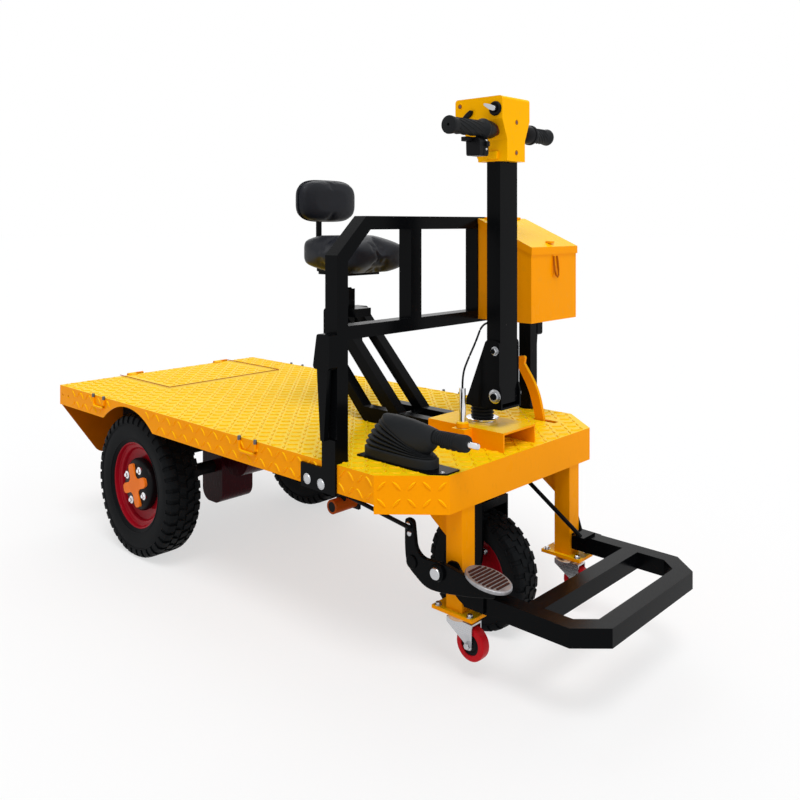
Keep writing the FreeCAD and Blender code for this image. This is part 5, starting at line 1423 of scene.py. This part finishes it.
    def cable(self):
        """The control cable, from the conduit's mouth to the steering column."""
        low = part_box("control_cable")[0]
        mouth = middle("cable_conduit")
        mouth.z = low.z
        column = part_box("steering_column")[0]
        points = [away(mouth, *steps) for steps in (
            (0, 0, 0), (0, 0, 34), (8, 12, 70), (17, 32, 112), (22, 50, 154))]
        points.append(away((column.x, mouth.y, low.z), 0, 50, 158))
        curve = bpy.data.curves.new("control_cable_sheath", "CURVE")
        curve.dimensions = "3D"
        spline = curve.splines.new("NURBS")
        spline.points.add(len(points) - 1)
        for item, point in zip(spline.points, points):
            item.co = (*point, 1.0)
        spline.order_u = 3
        spline.use_endpoint_u = True
        curve.resolution_u = 12
        line = bpy.data.objects.new("control_cable_line", curve)
        bpy.context.scene.collection.objects.link(line)
        bpy.context.view_layer.update()
        run = bpy.data.meshes.new_from_object(line)
        path = [tuple(vert.co) for vert in run.vertices]
        bpy.data.objects.remove(line)
        bpy.data.meshes.remove(run)
        piece = Form().tube(path, 2.5 * MM, 16).object(
            "control_cable_sheath", "rubber", None, "cable_sheath", ("control_cable",))
        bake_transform(piece)


class TRIKE_OT_stage(bpy.types.Operator):
    """Sets the floor, the lamps and the camera."""
    bl_idname = "trike.stage"
    bl_label = "Stage"

    FLOOR_REACH = 60.0                          # half the floor's length and width
    FLOOR_GLOW = 0.62                           # how much of the backdrop's level the floor shows

    def execute(self, context):
        stage = context.scene.trike_stage
        self.floor(stage)
        self.world(stage)
        self.lamps(stage)
        self.camera(stage)
        context.scene.view_settings.view_transform = "Standard"
        return {"FINISHED"}

    def seen(self, nodes, links):
        """1 for rays that show the backdrop: from the camera, in gloss and through glass."""
        path = nodes.new("ShaderNodeLightPath")
        total = path.outputs["Is Camera Ray"]
        for name in ("Is Glossy Ray", "Is Transmission Ray"):
            larger = nodes.new("ShaderNodeMath")
            larger.operation = "MAXIMUM"
            links.new(total, larger.inputs[0])
            links.new(path.outputs[name], larger.inputs[1])
            total = larger.outputs[0]
        return total

    def floor(self, stage):
        """A level floor that shows near white and keeps the object's shadow."""
        reach = self.FLOOR_REACH
        form = Form()
        form.mesh.faces.new([form.mesh.verts.new((x, y, 0)) for x, y in (
            (-reach, -reach), (reach, -reach), (reach, reach), (-reach, reach))])
        data = bpy.data.meshes.new("studio_floor")
        form.mesh.to_mesh(data)
        form.mesh.free()
        floor = bpy.data.objects.new("studio_floor", data)
        bpy.context.scene.collection.objects.link(floor)
        shader = Shader("floor_paint", Base_Color=(0.93, 0.93, 0.93, 1.0), Roughness=0.95,
                        Specular_IOR_Level=0.0)
        nodes, links = shader.nodes, shader.links
        glow = nodes.new("ShaderNodeEmission")
        glow.inputs["Color"].default_value = WHITE
        glow.inputs["Strength"].default_value = stage.backdrop
        share = nodes.new("ShaderNodeMath")
        share.operation = "MULTIPLY"
        links.new(self.seen(nodes, links), share.inputs[0])
        share.inputs[1].default_value = self.FLOOR_GLOW
        mix = nodes.new("ShaderNodeMixShader")
        links.new(share.outputs[0], mix.inputs[0])
        links.new(shader.surface.outputs[0], mix.inputs[1])
        links.new(glow.outputs[0], mix.inputs[2])
        links.new(mix.outputs[0], nodes["Material Output"].inputs["Surface"])
        data.materials.append(shader.material)

    def world(self, stage):
        """An even light for the object, and the backdrop for what the camera sees."""
        world = bpy.data.worlds.new("studio_light")
        world.use_nodes = True
        bpy.context.scene.world = world
        nodes, links = world.node_tree.nodes, world.node_tree.links
        light = nodes["Background"]
        light.inputs["Color"].default_value = (0.97, 0.98, 1.0, 1.0)
        light.inputs["Strength"].default_value = stage.sky
        seen = nodes.new("ShaderNodeBackground")
        seen.inputs["Color"].default_value = WHITE
        seen.inputs["Strength"].default_value = stage.backdrop
        mix = nodes.new("ShaderNodeMixShader")
        links.new(self.seen(nodes, links), mix.inputs[0])
        links.new(light.outputs[0], mix.inputs[1])
        links.new(seen.outputs[0], mix.inputs[2])
        links.new(mix.outputs[0], nodes["World Output"].inputs["Surface"])

    def lamps(self, stage):
        for name, power, spread, spot in (
                ("key_lamp", stage.key, 24.0, (0.9, -0.8, 2.4)),
                ("fill_lamp", stage.fill, 50.0, (2.4, -0.2, 1.4)),
                ("back_lamp", stage.fill, 50.0, (-1.6, 1.6, 2.2))):
            lamp = bpy.data.lights.new(name, "SUN")
            lamp.energy = power
            lamp.angle = math.radians(spread)
            item = bpy.data.objects.new(name, lamp)
            item.location = spot
            item.rotation_euler = (-Vector(spot)).to_track_quat("-Z", "Y").to_euler()
            bpy.context.scene.collection.objects.link(item)

    def camera(self, stage):
        data = bpy.data.cameras.new("view_camera")
        data.lens = stage.lens
        data.sensor_width = 36.0
        data.shift_y = stage.shift
        camera = bpy.data.objects.new("view_camera", data)
        camera.location = stage.eye
        camera.rotation_euler = (math.radians(90), 0, stage.bearing)
        bpy.context.scene.collection.objects.link(camera)
        bpy.context.scene.camera = camera


class TRIKE_PT_panel(bpy.types.Panel):
    """Lists the sizes, the colours and the steps in the sidebar."""
    bl_label = "Flatbed Tricycle"
    bl_idname = "TRIKE_PT_panel"
    bl_space_type = "VIEW_3D"
    bl_region_type = "UI"
    bl_category = "Tricycle"

    def draw(self, context):
        for group, settings in GROUPS.items():
            box = self.layout.box()
            for name in settings.__annotations__:
                box.prop(getattr(context.scene, group), name)
        for operator in OPERATORS:
            self.layout.operator(operator.bl_idname)


OPERATORS = (TRIKE_OT_stage, TRIKE_OT_finishes, TRIKE_OT_deck_tread, TRIKE_OT_tyres,
             TRIKE_OT_rims, TRIKE_OT_casters, TRIKE_OT_seat, TRIKE_OT_boot, TRIKE_OT_controls,
             TRIKE_OT_fittings)
CLASSES = (*GROUPS.values(), *OPERATORS, TRIKE_PT_panel)


def register():
    for item in CLASSES:
        bpy.utils.register_class(item)
    for name, settings in GROUPS.items():
        setattr(bpy.types.Scene, name, PointerProperty(type=settings))


def unregister():
    for name in GROUPS:
        delattr(bpy.types.Scene, name)
    for item in reversed(CLASSES):
        bpy.utils.unregister_class(item)


def main():
    register()
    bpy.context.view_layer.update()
    for operator in OPERATORS:
        family, name = operator.bl_idname.split(".")
        getattr(getattr(bpy.ops, family), name)()
    bpy.context.view_layer.update()


if __name__ == "__main__":
    main()
